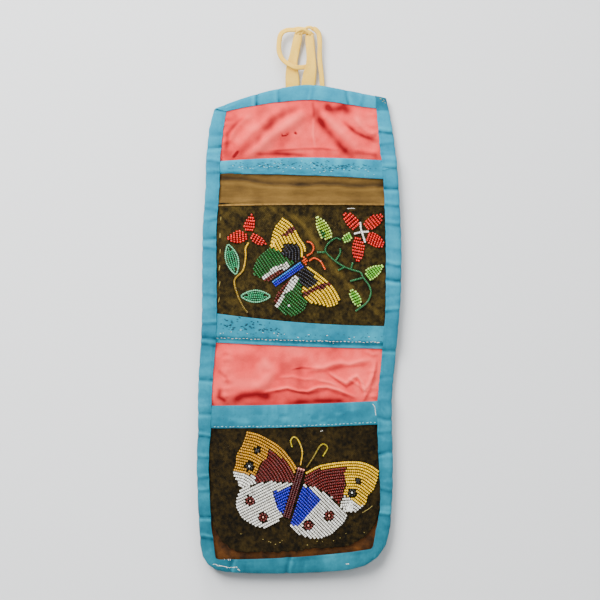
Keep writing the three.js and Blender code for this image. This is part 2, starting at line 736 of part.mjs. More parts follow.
// Butterfly of the upper pocket, seen from above with its head to the upper right.
const upperForeLanes = -38;
const upperHindLanes = -57;
const upperRightLanes = -47;
const upperBodyLanes = 36;
function addUpperButterfly() {
  addFields(upperVelvet, [
    ['upper_left_forewing_yellow', colours.yellow, upperForeLanes, [
      [-10.2, -7.8], [-3.6, -13], [1.4, -20.5], [3.8, -26], [2.4, -31.4], [0.8, -32.6], [1.1, -28],
      [-2.2, -23.9], [-9.5, -23.3], [-11.5, -29.4], [-17.7, -25.7], [-16.9, -19.2], [-15, -13.6]]],
    ['upper_left_forewing_black', colours.black, upperForeLanes, [
      [-9.5, -23.3], [-2.2, -23.9], [1.1, -28], [0.8, -32.6], [-2, -35.5], [-11.5, -29.4]]],
    ['upper_left_hindwing_green', colours.green, upperHindLanes, [
      [-17.7, -25.7], [-11.5, -29.4], [-2, -35.5], [-6.5, -38.8], [-12.1, -37.2], [-24.2, -45],
      [-27.7, -43.3], [-28.5, -39.6], [-25.2, -32.1]]],
    ['upper_left_hindwing_white', colours.white, upperHindLanes, [
      [-24.2, -45], [-12.1, -37.2], [-6.5, -38.8], [-8.9, -40.7], [-12, -39.6], [-22.4, -46.4]]],
    ['upper_left_hindwing_red', colours.darkRed, upperHindLanes, [
      [-22.4, -46.4], [-12, -39.6], [-8.9, -40.7], [-18.7, -47.7]]],
    ['upper_right_forewing_yellow', colours.yellow, upperRightLanes, [
      [5.4, -37.6], [10.5, -39.6], [18, -45.4], [23, -52], [25, -57.8], [23, -62], [18, -63.2],
      [11.4, -61.2], [4.7, -60.3], [1.8, -54.6], [1.9, -50.6], [4.8, -52.1], [9.9, -49.5], [11.5, -46.6],
      [4.6, -38.2]]],
    ['upper_right_forewing_black', colours.black, upperRightLanes, [
      [0.2, -40.2], [4.6, -38.2], [11.5, -46.6], [9.9, -49.5], [4.8, -52.1], [1.9, -50.6], [-1.2, -43.2]]],
    ['upper_right_hindwing_green', colours.green, upperRightLanes, [
      [-1.2, -43.2], [1.9, -50.6], [1.8, -54.6], [4.7, -60.3], [3.1, -65.3], [-3.6, -69.1],
      [-10.2, -67.4], [-13, -63.5], [-2.7, -45.6]]],
    ['upper_right_hindwing_white', colours.white, upperRightLanes, [
      [-1.2, -43.2], [-2.7, -45.6], [-13, -63.5], [-14.8, -62.4], [-4.7, -45]]],
    ['upper_right_hindwing_red', colours.darkRed, upperRightLanes, [
      [-4.7, -45], [-14.8, -62.4], [-15.6, -59.3], [-12.7, -53], [-6.9, -46.5]]],
    ['upper_butterfly_body', colours.blue, upperBodyLanes, [
      [-17.3, -47.4], [0.4, -34.5], [2.6, -37.6], [-15, -50.5]]],
    ['upper_butterfly_head', colours.darkRed, upperBodyLanes, [
      [0.9, -34.2], [3, -32.4], [5, -33.7], [4.9, -35.8], [3.1, -37.3]]],
  ]);
  addStrands(upperVelvet, [
    ['upper_left_antenna', colours.orange,
      [[4.9, -31.2], [7.5, -29.6], [8.7, -26.3], [7, -23.4], [4.9, -22.8]]],
    ['upper_right_antenna', colours.orange, [[6.3, -34.4], [9, -32.9], [13, -35], [15.6, -39.7]]],
  ]);
}

// Flower on the left of the upper pocket.
const leafWidth = 8.6;
const lowLeafWidth = 8.2;
const leafLanes = 3;
function addLeftFlower() {
  addFields(upperVelvet, [
    ['left_flower_top_petal', colours.red, 8, [
      [-29.3, -4.7], [-27.7, -9.7], [-27.3, -13.9], [-29.4, -16.5], [-32.9, -16], [-34.7, -12.7],
      [-32.1, -8.1]]],
    ['left_flower_left_petal', colours.red, 75, [
      [-45.1, -20.4], [-41.2, -17.1], [-37.6, -15.2], [-34.2, -16.7], [-31.9, -18.6], [-32.6, -21.5],
      [-37.8, -23.7], [-42.2, -22.4]]],
    ['left_flower_right_petal', colours.red, 50, [
      [-30.6, -19.7], [-27.5, -17.5], [-23.9, -19.3], [-19.5, -24.2], [-24.8, -24.8], [-28.4, -23.3]]],
  ]);
  addStrands(upperVelvet, [
    ['left_flower_stem', colours.yellow, [[-31.6, -23.6], [-33.3, -27], [-33.2, -32.2], [-34.9, -40.4],
      [-40.1, -46.6], [-38.4, -55.4], [-34.9, -62.9], [-32.3, -66.6]]],
  ]);
  addPiece('left_flower_high_leaf', lanedLeaf(upperVelvet, [[-44.2, -24.2], [-39.2, -43]], leafWidth,
    leafLanes), colours.mint, beadGloss);
  addPiece('left_flower_low_leaf', lanedLeaf(upperVelvet, [[-36.2, -56.6], [-18, -56.6]], lowLeafWidth,
    leafLanes), colours.mint, beadGloss);
}

// Flowering spray on the right of the upper pocket.
function addRightSpray() {
  addFields(upperVelvet, [
    ['right_flower_upper_left_petal', colours.red, -28, [
      [26.9, -4.9], [32.2, -5.2], [36.5, -8.7], [37.1, -12], [33.5, -15.7], [29.7, -13.3], [27.5, -9.1]]],
    ['right_flower_upper_right_petal', colours.red, -50, [
      [51.2, -5.1], [45, -6.1], [40.4, -9.5], [39.6, -12.4], [41.6, -15.1], [46.5, -14.3],
      [50.2, -11.5], [51.2, -8.1]]],
    ['right_flower_right_petal', colours.red, 60, [
      [42.4, -17.4], [46.2, -16.6], [50, -19.4], [52.8, -23.6], [51.4, -25.9], [46.2, -25.9],
      [42.1, -23.3], [41.2, -20.2]]],
    ['right_flower_lower_petal', colours.red, -12, [
      [34.6, -19.2], [38, -21.2], [40.1, -24.8], [40.2, -28.8], [38.1, -33.7], [35.8, -35.5],
      [33, -31.3], [32.3, -25.2]]],
    ['spray_top_bud', colours.budGreen, -20, [
      [10.4, -6.7], [15.5, -9.7], [19.3, -14.5], [20.3, -18.6], [18.5, -21.2], [13.5, -21],
      [11.1, -16.5], [10.1, -11.2]]],
    ['spray_small_bud', colours.budGreen, 55, [
      [26.1, -21.3], [27.8, -18.1], [30.4, -16.6], [32.1, -18.8], [31.7, -22.4], [28.2, -23.2]]],
    ['spray_right_bud', colours.budGreen, -60, [
      [52, -37.2], [45.6, -37.6], [41.3, -39.4], [40.9, -43.2], [43.1, -46.8], [47.1, -45.3],
      [50, -41.9]]],
    ['spray_low_bud', colours.budGreen, 20, [
      [31.7, -52], [35.4, -53.9], [38.3, -57.8], [38.1, -61.4], [36.8, -63.6], [32.7, -60.9],
      [30.7, -56.4]]],
  ]);
  addStrands(upperVelvet, [
    ['right_flower_cross', colours.white,
      [[38.3, -13.6], [38.4, -17.1], [39.8, -21.2]], [[35.2, -18], [38.4, -17.1], [40.6, -16.6]]],
    ['spray_stem', colours.stemGreen,
      [[24.9, -21.3], [22.2, -20.5], [17.7, -23.8], [15.9, -28.4], [20.1, -33.2], [26.4, -37.6],
        [32.1, -40], [37.5, -41.7], [39.4, -45], [42.9, -49.8], [44.1, -54.6], [41.7, -60.4], [35, -65.7]],
      [[15.9, -29.2], [11.2, -29.3]],
      [[25.1, -27.3], [24.9, -30.1], [22.1, -34.7]],
      [[28, -38.4], [24.2, -40.2]],
      [[31.8, -39.7], [32.7, -36]],
      [[39.4, -45], [31.7, -47.1]]],
  ]);
}

// Butterfly of the lower pocket.
const lowerLeftForeLanes = -18;
const lowerLeftHindLanes = 25;
const lowerRightForeLanes = -8;
const lowerRightHindLanes = -40;
const lowerBodyLanes = 73;
const lowerBodyWidth = 4.8;
function addLowerButterfly() {
  addFields(lowerVelvet, [
    ['lower_left_forewing_ochre', colours.ochre, lowerLeftForeLanes, [
      [-31.9, -2.4], [-23.6, -3.9], [-13.6, -9.4], [-5.9, -18.3], [-2.2, -24.8], [-2.9, -28.1],
      [-6.3, -22.6], [-12.5, -17.2], [-19.2, -13.4], [-20.3, -19.5], [-24.2, -21.7], [-27, -29.6],
      [-40.7, -27.3], [-39.1, -23.6], [-38.6, -17.2], [-34.7, -10.8], [-33.2, -6.2]]],
    ['lower_left_forewing_red', colours.darkRed, lowerLeftForeLanes, [
      [-19.2, -13.4], [-12.5, -17.2], [-6.3, -22.6], [-2.9, -28.1], [-4.4, -33.9], [-8.1, -33.2],
      [-19.2, -32.7], [-26.4, -34.3], [-27, -29.6], [-24.2, -21.7], [-20.3, -19.5]]],
    ['lower_left_forewing_white', colours.white, lowerLeftForeLanes, [
      [-40.7, -27.3], [-27, -29.6], [-26.4, -34.3], [-31.9, -36.2], [-35.9, -37.6], [-37.8, -33.9],
      [-40.2, -31]]],
    ['lower_left_hindwing_white', colours.white, lowerLeftHindLanes, [
      [-35.9, -37.6], [-31.9, -36.2], [-26.4, -34.3], [-19.2, -32.7], [-8.1, -33.2], [-4.4, -33.9],
      [-5.3, -36.1], [-16.9, -39.8], [-13.6, -50.5], [-10.5, -53.7], [-11.3, -55.8], [-15.9, -60.1],
      [-20.8, -62.1], [-27.6, -60.8], [-35, -56.4], [-38.9, -50.2], [-38.5, -44]]],
    ['lower_left_hindwing_blue', colours.blue, lowerLeftHindLanes, [
      [-5.3, -36.1], [-10.5, -53.7], [-13.6, -50.5], [-16.9, -39.8]]],
    ['lower_right_forewing_ochre', colours.ochre, lowerRightForeLanes, [
      [4.3, -27.2], [11.8, -22.7], [19.5, -21.1], [29.5, -21.1], [39.5, -21.6], [46.1, -24.4],
      [49, -27.2], [48, -32.7], [45.8, -38.9], [41.7, -43], [41, -47.1], [39.4, -48.9], [29.7, -42.8],
      [27.2, -40.9], [29.4, -36.2], [27.5, -28.8], [29.8, -25], [20.8, -24.4], [12.3, -25.5],
      [4.2, -28.6]]],
    ['lower_right_forewing_red', colours.darkRed, lowerRightForeLanes, [
      [4.2, -28.6], [12.3, -25.5], [20.8, -24.4], [29.8, -25], [27.5, -28.8], [29.4, -36.2],
      [27.2, -40.9], [24.2, -47], [17.1, -40.1], [10.8, -37], [2.9, -34.5]]],
    ['lower_right_forewing_white', colours.white, lowerRightForeLanes, [
      [27.2, -40.9], [29.7, -42.8], [39.4, -48.9], [34.4, -52.6], [29.4, -51.6], [24.2, -47]]],
    ['lower_right_hindwing_white', colours.white, lowerRightHindLanes, [
      [2.9, -34.5], [10.8, -37], [17.1, -40.1], [24.2, -47], [29.4, -51.6], [29.2, -54.6],
      [26.7, -59.8], [21.4, -65.1], [13.6, -68.3], [6.8, -68.4], [-0.4, -65.7], [-5.4, -61.4],
      [-5.4, -59.9], [-1.2, -61.4], [13.5, -44.3], [4.9, -36.7], [1.9, -36.5]]],
    ['lower_right_hindwing_blue', colours.blue, lowerRightHindLanes, [
      [1.9, -36.5], [4.9, -36.7], [13.5, -44.3], [-1.2, -61.4], [-5.4, -59.9], [-4.5, -57]]],
    ['lower_butterfly_body', colours.maroon, lowerBodyLanes, [
      [-1.1, -24.2], [3.5, -25.6], [-5.9, -56.6], [-10.5, -55.2]], lowerBodyWidth / lanesInLowerBody],
  ]);
  addStrands(lowerVelvet, [
    ['lower_left_antenna', colours.olive,
      [[0.7, -22.9], [1.7, -15.2], [-0.5, -8.5], [-3.2, -6], [-5.4, -8.2], [-4.7, -11.8]]],
    ['lower_right_antenna', colours.olive,
      [[4.6, -24.2], [8.6, -18.3], [12.3, -12], [14.9, -10.5], [17.2, -12.8], [14.6, -17.6]]],
  ]);
}

// Hanger: flat cotton tape. Each point of a route is [across, depth, height], from the foot to the knot.
const tapeSection = [[-1, 0], [-0.7, -1], [0.7, -1], [1, 0], [0.7, 1], [-0.7, 1]];
const faceForward = new THREE.Vector3(0, -1, 0);
function tape(route, steps, widthAt, thicknessAt) {
  const curve = new THREE.CatmullRomCurve3(route.map(([x, depth, z]) => new THREE.Vector3(x, -depth, z)));
  const rings = evenly(0, 1, steps).map((share) => {
    const middle = curve.getPointAt(share);
    const way = curve.getTangentAt(share);
    const wide = new THREE.Vector3().crossVectors(way, faceForward).normalize();
    const thick = new THREE.Vector3().crossVectors(wide, way).normalize();
    return tapeSection.map(([u, v]) => middle.clone()
      .addScaledVector(wide, u * widthAt(share) / 2)
      .addScaledVector(thick, v * thicknessAt(share) / 2));
  });
  return loft(rings, tapeSection);
}

const legSteps = 9;
const tailSteps = 16;
const knotMiddle = [3.1, -1.2];
const knotWrapReach = 0.42;
const knotWrapRise = 0.2;
const knotWrapWidth = 0.55;
const knotWrapThickness = 0.35;
const knotFrontWrap = 0.85;
const knotBackWrap = 0.25;
const legTopZ = knotMiddle[1] - knotHeight / 2 - gap;
const legFootZ = peakZ - legSewnLength;
const behindBinding = cloth / 2;
const belowKnot = (share) => legTopZ + (peakZ - legTopZ) * share;

function leg(name, footX, kneeX, kneeDepth, waistX, topX) {
  const route = [
    [footX, behindBinding, legFootZ],
    [footX, behindBinding, belowKnot(1.05)],
    [kneeX, kneeDepth, belowKnot(0.62)],
    [waistX, kneeDepth, belowKnot(0.36)],
    [topX, knotDepth * 0.5, legTopZ],
  ];
  const width = (share) => lerp(legWidth, legWaist, smoothstep(share, 0.4, 0.75));
  addPiece(name, tape(route, legSteps, width, () => cloth), colours.tape);
}

function addHanger() {
  leg('hanger_left_leg', -4.3, -4.6, 1.4, -3.2, -0.6);
  leg('hanger_right_leg', 5.4, 7.1, 2.6, 7, 6.1);
  const core = new THREE.SphereGeometry(1, 8, 5);
  core.scale(knotWidth / 2, knotDepth / 2.4, knotHeight / 2.2);
  core.translate(knotMiddle[0], -knotDepth / 2, knotMiddle[1]);
  const reach = knotWidth * knotWrapReach;
  const rise = knotHeight * knotWrapRise;
  const wrap = (slant, forward) => tape([
    [knotMiddle[0] - reach, knotDepth / 2, knotMiddle[1] - slant],
    [knotMiddle[0], knotDepth * forward, knotMiddle[1]],
    [knotMiddle[0] + reach, knotDepth / 2, knotMiddle[1] + slant],
  ], 4, () => knotHeight * knotWrapWidth, () => knotDepth * knotWrapThickness);
  const wraps = [wrap(rise, knotFrontWrap), wrap(-rise, knotBackWrap)];
  addPiece('hanger_knot', joined([core, ...wraps]), colours.tape);
  const tailWidthAt = () => tailWidth;
  const flatEnd = (share) => lerp(tailThickness, cloth, smoothstep(share, 0.85, 0.97));
  const leftRoute = [[-2.6, 2.4, -0.2], [-7.9, 2.6, -0.5], [-11.6, 2.6, -3.1], [-12.8, 2.6, -9.1],
    [-12.5, 2.8, -14.4], [-10.3, 3.4, -18.9], [-6.5, 3.8, -21.9], [-2.9, 3.4, -23.4], [0.7, 2, -23.5],
    [4.2, 0.8, -22.9], [8, 0.7, -21.8]];
  const rightRoute = [[8.6, 2.2, 0.6], [10.4, 2.2, -0.3], [12.1, 2, -3.1], [12.6, 2, -9.3],
    [12.5, 1.9, -14.9], [12.8, 1.7, -21.1], [13.6, 1, -27.5], [14, 0.3, -33], [14.2, 0.2, -38]];
  addPiece('hanger_left_tail', tape(leftRoute, tailSteps, tailWidthAt, flatEnd), colours.tape);
  addPiece('hanger_right_tail', tape(rightRoute, tailSteps, tailWidthAt, flatEnd), colours.tape);
}

addBacking();
addBindings();
addUpperPocket();
addLowerPocket();
addHanger();
addUpperButterfly();
addLeftFlower();
addRightSpray();
addLowerButterfly();

export default pouch;
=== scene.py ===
"""Beaded wall pouch: a bound cotton backing, two beaded velvet pockets and a tied tape hanger.

Metres, +Z up. The knot that takes the nail is at the origin, the wall is the plane y = 0, and the pouch
faces -Y. Sizes are in millimetres unless a line says metres, and are scaled by MM where a mesh is made.
Beads and stitches start as points IN_FRONT of the cloth that they are thrown back on.
"""
from __future__ import annotations
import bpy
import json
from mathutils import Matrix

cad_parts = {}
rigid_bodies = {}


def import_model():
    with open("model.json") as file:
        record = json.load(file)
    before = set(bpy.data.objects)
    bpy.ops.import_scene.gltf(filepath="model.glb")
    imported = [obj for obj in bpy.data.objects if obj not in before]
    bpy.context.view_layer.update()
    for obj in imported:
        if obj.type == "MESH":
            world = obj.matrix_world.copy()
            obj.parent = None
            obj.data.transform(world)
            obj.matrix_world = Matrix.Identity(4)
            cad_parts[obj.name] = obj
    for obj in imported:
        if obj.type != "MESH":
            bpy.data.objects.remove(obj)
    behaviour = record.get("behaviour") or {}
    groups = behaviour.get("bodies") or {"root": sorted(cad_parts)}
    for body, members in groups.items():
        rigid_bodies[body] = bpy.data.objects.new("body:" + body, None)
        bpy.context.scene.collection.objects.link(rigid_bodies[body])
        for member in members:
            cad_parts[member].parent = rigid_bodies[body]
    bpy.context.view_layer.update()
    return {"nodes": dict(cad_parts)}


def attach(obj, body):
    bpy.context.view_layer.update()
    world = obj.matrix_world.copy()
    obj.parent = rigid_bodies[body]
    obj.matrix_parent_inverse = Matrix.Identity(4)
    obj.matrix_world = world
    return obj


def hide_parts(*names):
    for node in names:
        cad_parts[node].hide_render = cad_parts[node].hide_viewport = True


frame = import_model()

import json
import logging
import math
from dataclasses import dataclass, field
from enum import Enum
from functools import partial
from typing import Callable, Sequence

import bpy
import numpy as np
from mathutils import Vector
from mathutils.bvhtree import BVHTree

LOG = logging.getLogger("beaded_pouch")
MM = 0.001
BODY = "root"
IN_FRONT = -60.0

Point = tuple[float, float]
Colour = tuple[float, float, float]
Array = np.ndarray
Piece = bpy.types.Object
Socket = bpy.types.NodeSocket


def linear(colour: Sequence[float]) -> tuple[float, float, float, float]:
    """Turns a paint colour of 0 to 255 into scene light.

    Args:
        colour: Red, green and blue as they are seen on a screen.

    Returns:
        Linear red, green, blue and an opaque alpha.
    """
    parts = [c / 255 for c in colour]
    light = [c / 12.92 if c <= 0.04045 else ((c + 0.055) / 1.055) ** 2.4 for c in parts]
    return (light[0], light[1], light[2], 1.0)


def smooth_rise(value: Array, start: float, end: float) -> Array:
    """Rises softly from 0 at start to 1 at end.

    Args:
        value: Where along the rise each point is.
        start: Where the rise begins.
        end: Where it is complete.

    Returns:
        The share risen, from 0 to 1.
    """
    share = np.clip((value - start) / (end - start), 0.0, 1.0)
    return share * share * (3.0 - 2.0 * share)


def relaxed(grid: Array, passes: int) -> Array:
    """Evens out a grid of heights, so that no facet of the solid below it shows.

    Args:
        grid: Heights in rows and columns.
        passes: How often each height is averaged with its neighbours.

    Returns:
        The smoothed grid.
    """
    work = grid.copy()
    for _ in range(passes):
        padded = np.pad(work, 1, mode="reflect", reflect_type="odd")
        work = (padded[:-2, 1:-1] + padded[2:, 1:-1] + padded[1:-1, :-2] + padded[1:-1, 2:] + 4 * work) / 8
    return work


def mottle(x: Array, z: Array, size: float, seed: int) -> Array:
    """Soft random hills, the same on every run.

    Args:
        x: Places across.
        z: Places up.
        size: Width of a hill.
        seed: Which set of hills.

    Returns:
        Heights from -1 to 1.
    """
    cells = 64
    table = np.random.default_rng(seed).uniform(-1.0, 1.0, (cells, cells))
    u, v = x / size, z / size
    iu, iv = np.floor(u).astype(int), np.floor(v).astype(int)
    fu, fv = u - iu, v - iv
    fu, fv = fu * fu * (3 - 2 * fu), fv * fv * (3 - 2 * fv)
    left, right, below, above = iu % cells, (iu + 1) % cells, iv % cells, (iv + 1) % cells
    low = table[left, below] * (1 - fu) + table[right, below] * fu
    high = table[left, above] * (1 - fu) + table[right, above] * fu
    return low * (1 - fv) + high * fv


def between(value: Array, start: object, full: object, ebb: object, end: object) -> Array:
    """Rises softly from 0 at start to 1 at full, and falls from 1 at ebb to 0 at end."""
    return smooth_rise(value, start, full) * (1 - smooth_rise(value, ebb, end))


def bell(value: Array, width: object) -> Array:
    """A bell, 1 where the value is 0 and fading over the width on either side."""
    return np.exp(-((value / width) ** 2))


def reach_along(line: Array) -> Array:
    """How far along a line each of its points lies."""
    return np.concatenate([[0.0], np.cumsum(np.hypot(*np.diff(line, axis=0).T))])


def read_along(marks: Array, reach: Array, line: Array) -> Array:
    """The places on a line at marks along it, where reach is how far along its own points lie."""
    return np.column_stack([np.interp(marks, reach, column) for column in line.T])


def mesh_piece(name: str, points: Array, faces: list[tuple[int, ...]]) -> Piece:
    """Makes a closed mesh object with its faces turned outwards.

    Args:
        name: Name of the piece.
        points: Places in metres, one row each.
        faces: Corner numbers of each face, all turned the same way.

    Returns:
        The new object, at the origin.
    """
    volume = 0.0
    for face in faces:
        a = points[face[0]]
        for i in range(1, len(face) - 1):
            volume += float(np.dot(a, np.cross(points[face[i]], points[face[i + 1]])))
    turned = [tuple(reversed(face)) for face in faces] if volume < 0 else faces
    mesh = bpy.data.meshes.new(name)
    mesh.from_pydata(points.tolist(), [], turned)
    mesh.update()
    mesh.shade_smooth()
    piece = bpy.data.objects.new(name, mesh)
    bpy.context.scene.collection.objects.link(piece)
    return piece


def swept_piece(name: str, rings: Array, shade: Array) -> Piece:
    """Closes rings of points, one for each station, into a piece with two ends.

    Args:
        name: Name of the piece.
        rings: Points of each ring. A ring with an odd number of them starts at its tip.
        shade: Darkness of each point, from painted shade and highlight and from uneven tone, written as
            "fold".

    Returns:
        The new object.
    """
    stations, size = rings.shape[:2]
    faces = []
    for k in range(stations - 1):
        for i in range(size):
            a, b = k * size + i, k * size + (i + 1) % size
            faces.append((a, a + size, b + size, b))
    last, tip = (stations - 1) * size, size % 2
    if tip:
        faces += [(0, 1, size - 1), (last, last + size - 1, last + 1)]
    for i in range(tip, (size + tip) // 2 - 1):
        j = size - 1 + tip - i
        faces += [(i, i + 1, j - 1, j), (last + i, last + j, last + j - 1, last + i + 1)]
    piece = mesh_piece(name, rings.reshape(-1, 3) * MM, faces)
    point_value(piece, "fold", shade)
    return piece


def point_value(piece: Piece, name: str, values: Array) -> None:
    """Writes one number to each point of a piece.

    Args:
        piece: A mesh object.
        name: Name of the attribute that a material reads.
        values: The numbers, one for each point.
    """
    attribute = piece.data.attributes.new(name, "FLOAT", "POINT")
    attribute.data.foreach_set("value", np.asarray(values, np.float32).ravel())


def finish_piece(piece: Piece, material: bpy.types.Material, slot: str, *nodes: str) -> None:
    """Dresses a piece, lets it ride on the body and puts it in place of its nodes.

    Args:
        piece: The finished object.
        material: Its material.
        slot: The record's material slot; not used.
        nodes: CAD nodes that the piece stands for.
    """
    piece.data.materials.clear()
    piece.data.materials.append(material)
    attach(piece, BODY)
    if nodes:
        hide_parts(*nodes)
    LOG.info("%s: %d faces", piece.name, len(piece.data.polygons))


class CadSurface:
    """A CAD node read as a surface seen from the front, and as an outline."""

    def __init__(self, name: str, levels: int = 400) -> None:
        """Reads the node's mesh.

        Args:
            name: The node.
            levels: How many heights and widths its outline is read at.
        """
        mesh = frame["nodes"][name].data
        mesh.calc_loop_triangles()
        points = np.zeros(len(mesh.vertices) * 3)
        mesh.vertices.foreach_get("co", points)
        self.points = points.reshape(-1, 3) / MM
        corners = np.zeros(len(mesh.loop_triangles) * 3, np.int32)
        mesh.loop_triangles.foreach_get("vertices", corners)
        triangles = corners.reshape(-1, 3)
        self.tree = BVHTree.FromPolygons(self.points.tolist(), triangles.tolist())
        sides = np.vstack([triangles[:, [0, 1]], triangles[:, [1, 2]], triangles[:, [2, 0]]])
        self.sides = self.points[sides]
        self.low = self.points.min(0)
        self.high = self.points.max(0)
        self.levels = levels
        self.across = self._spans(2)
        self.down = self._spans(0)
        flat = self.points[:, [0, 2]]
        self.corners = {(side, rise): flat[np.argmax(flat @ np.array([side, rise]))]
                        for side in (-1, 1) for rise in (-1, 1)}

    def flat(self) -> tuple[float, float]:
        """Width and height of the outline's box, in metres."""
        return (self.high[0] - self.low[0]) * MM, (self.high[2] - self.low[2]) * MM

    def _spans(self, along: int) -> tuple[Array, Array, Array]:
        """Reads the lowest and highest place of the outline at each level."""
        margin = 0.02
        levels = np.linspace(self.low[along] + margin, self.high[along] - margin, self.levels)
        places = [self.crossings(along, level) for level in levels]
        return levels, np.array([p.min() for p in places]), np.array([p.max() for p in places])

    def left(self, z: Array) -> Array:
        """The outline's left side at each height between its left corners."""
        held = np.clip(z, self.corners[-1, -1][1], self.corners[-1, 1][1])
        return np.interp(held, self.across[0], self.across[1])

    def right(self, z: Array) -> Array:
        """The outline's right side at each height between its right corners."""
        held = np.clip(z, self.corners[1, -1][1], self.corners[1, 1][1])
        return np.interp(held, self.across[0], self.across[2])

    def bottom(self, x: Array) -> Array:
        """The outline's lower side at each place between its lower corners."""
        held = np.clip(x, self.corners[-1, -1][0], self.corners[1, -1][0])
        return np.interp(held, self.down[0], self.down[1])

    def top(self, x: Array) -> Array:
        """The outline's upper side at each place between its upper corners."""
        held = np.clip(x, self.corners[-1, 1][0], self.corners[1, 1][0])
        return np.interp(held, self.down[0], self.down[2])

    def crossings(self, along: int, level: float) -> Array:
        """Where the mesh crosses a line of one height, or of one place across.

        Args:
            along: 2 for a line of one height, 0 for a line of one place across.
            level: The height or the place.

        Returns:
            The places along the line.
        """
        start, end = self.sides[:, 0, :], self.sides[:, 1, :]
        crossing = (start[:, along] - level) * (end[:, along] - level) <= 0
        a, b = start[crossing], end[crossing]
        run = b[:, along] - a[:, along]
        share = np.where(np.abs(run) < 1e-9, 0.5, (level - a[:, along]) / np.where(run == 0, 1, run))
        read = 2 - along
        return a[:, read] + share * (b[:, read] - a[:, read])

    def depth(self, x: Array, z: Array, front: bool = True) -> Array:
        """Reads how far forward the surface lies.

        Args:
            x: Places across.
            z: Heights.
            front: Whether the room's side is read, or else the wall's side.

        Returns:
            y in millimetres, and the nearest point's where the surface is missed.
        """
        start_y, way = (-200.0, Vector((0, 1, 0))) if front else (200.0, Vector((0, -1, 0)))
        found = np.zeros(x.shape)
        side = self.low[1] if front else self.high[1]
        for place, (px, pz) in enumerate(zip(x.ravel(), z.ravel())):
            hit = self.tree.ray_cast(Vector((px, start_y, pz)), way)
            if hit[0] is None:
                hit = self.tree.find_nearest(Vector((px, side, pz)))
            found.flat[place] = hit[0][1]
        return found

    def grid(self, rows: Array, columns: Array) -> tuple[Array, Array]:
        """Spreads rows and columns over the four-sided outline.

        Args:
            rows: Shares from the top line to the bottom line.
            columns: Shares from the left side to the right side.

        Returns:
            x and z of each place.
        """
        down, along = np.meshgrid(rows, columns, indexing="ij")
        x = self.low[0] + (self.high[0] - self.low[0]) * along
        z = self.high[2] + (self.low[2] - self.high[2]) * down
        for _ in range(12):
            left, right = self.left(z), self.right(z)
            x = left + (right - left) * along
            top, bottom = self.top(x), self.bottom(x)
            z = top + (bottom - top) * down
        return x, z


@dataclass
class Crease:
    """A fold that runs along a path in the cloth."""

    path: Sequence[Point]
    width: float
    rise: float
    shade: float = 0.0

    def near(self, x: Array, z: Array) -> Array:
        """How much each place belongs to the fold, from 0 to 1, fading at the path's ends.

        Args:
            x: Places across.
            z: Heights.

        Returns:
            The share of the fold at each place.
        """
        route = np.array(self.path, float)
        steps = np.linalg.norm(np.diff(route, axis=0), axis=1)
        reach = np.concatenate([[0.0], np.cumsum(steps)])
        best = np.full(x.shape, 1e9)
        share = np.zeros(x.shape)
        for i, step in enumerate(steps):
            a, way = route[i], (route[i + 1] - route[i]) / step
            along = np.clip((x - a[0]) * way[0] + (z - a[1]) * way[1], 0.0, step)
            gap = np.hypot(x - a[0] - along * way[0], z - a[1] - along * way[1])
            closer = gap < best
            best = np.where(closer, gap, best)
            share = np.where(closer, (reach[i] + along) / reach[-1], share)
        ends = np.clip(np.minimum(share, 1.0 - share) * 5.0 + 0.25, 0.0, 1.0)
        return bell(best, self.width) * ends


@dataclass
class FoldField:
    """All the folds of one piece of cloth."""

    creases: Sequence[Crease]

    @classmethod
    def of(cls, *rows: Sequence[float]) -> FoldField:
        """Makes a crease of each row: its width, rise and shade, then x and z of each point of its path."""
        return cls([Crease(list(zip(row[3::2], row[4::2])), *row[:3]) for row in rows])

    def rise(self, x: Array, z: Array) -> Array:
        """How far the cloth stands forward at each place."""
        return sum((c.rise * c.near(x, z) for c in self.creases), np.zeros(x.shape))

    def shade(self, x: Array, z: Array) -> Array:
        """How much darker or lighter the creases paint the cloth at each place."""
        return sum((c.shade * c.near(x, z) for c in self.creases), np.zeros(x.shape))


def cloth_piece(name: str, x: Array, z: Array, front: Array, thick: float,
                shade: Array) -> Piece:
    """Makes a closed piece of cloth from a grid of places on its front.

    Args:
        name: Name of the piece.
        x: Places across.
        z: Heights.
        front: y of the cloth's face.
        thick: Thickness.
        shade: Painted shade and highlight of the folds, with uneven tone, written to the points as "fold".

    Returns:
        The new object, with a UV map in metres along the cloth.
    """
    rows, columns = x.shape
    face = np.stack([x, front, z], -1).reshape(-1, 3)
    back = face + np.array([0.0, thick, 0.0])
    count = rows * columns
    number = np.arange(count).reshape(rows, columns)
    a, b = number[:-1, :-1].ravel(), number[1:, :-1].ravel()
    c, d = number[1:, 1:].ravel(), number[:-1, 1:].ravel()
    faces = list(zip(a.tolist(), b.tolist(), c.tolist(), d.tolist()))
    faces += [(i + count, l + count, k + count, j + count) for i, j, k, l in faces]
    rim = [*number[0, :], *number[1:, -1], *number[-1, -2::-1], *number[-2:0:-1, 0]]
    rim = [int(i) for i in rim]
    faces += [(p, q, q + count, p + count) for p, q in zip(rim, rim[1:] + rim[:1])]
    piece = mesh_piece(name, np.vstack([face, back]) * MM, faces)
    point_value(piece, "fold", np.concatenate([shade.ravel(), shade.ravel()]))
    layer = piece.data.uv_layers.new(name="cloth")
    corners = np.zeros(len(piece.data.loops), np.int32)
    piece.data.loops.foreach_get("vertex_index", corners)
    places = np.vstack([face, back])[:, [0, 2]][corners] * MM
    layer.data.foreach_set("uv", places.astype(np.float32).ravel())
    return piece


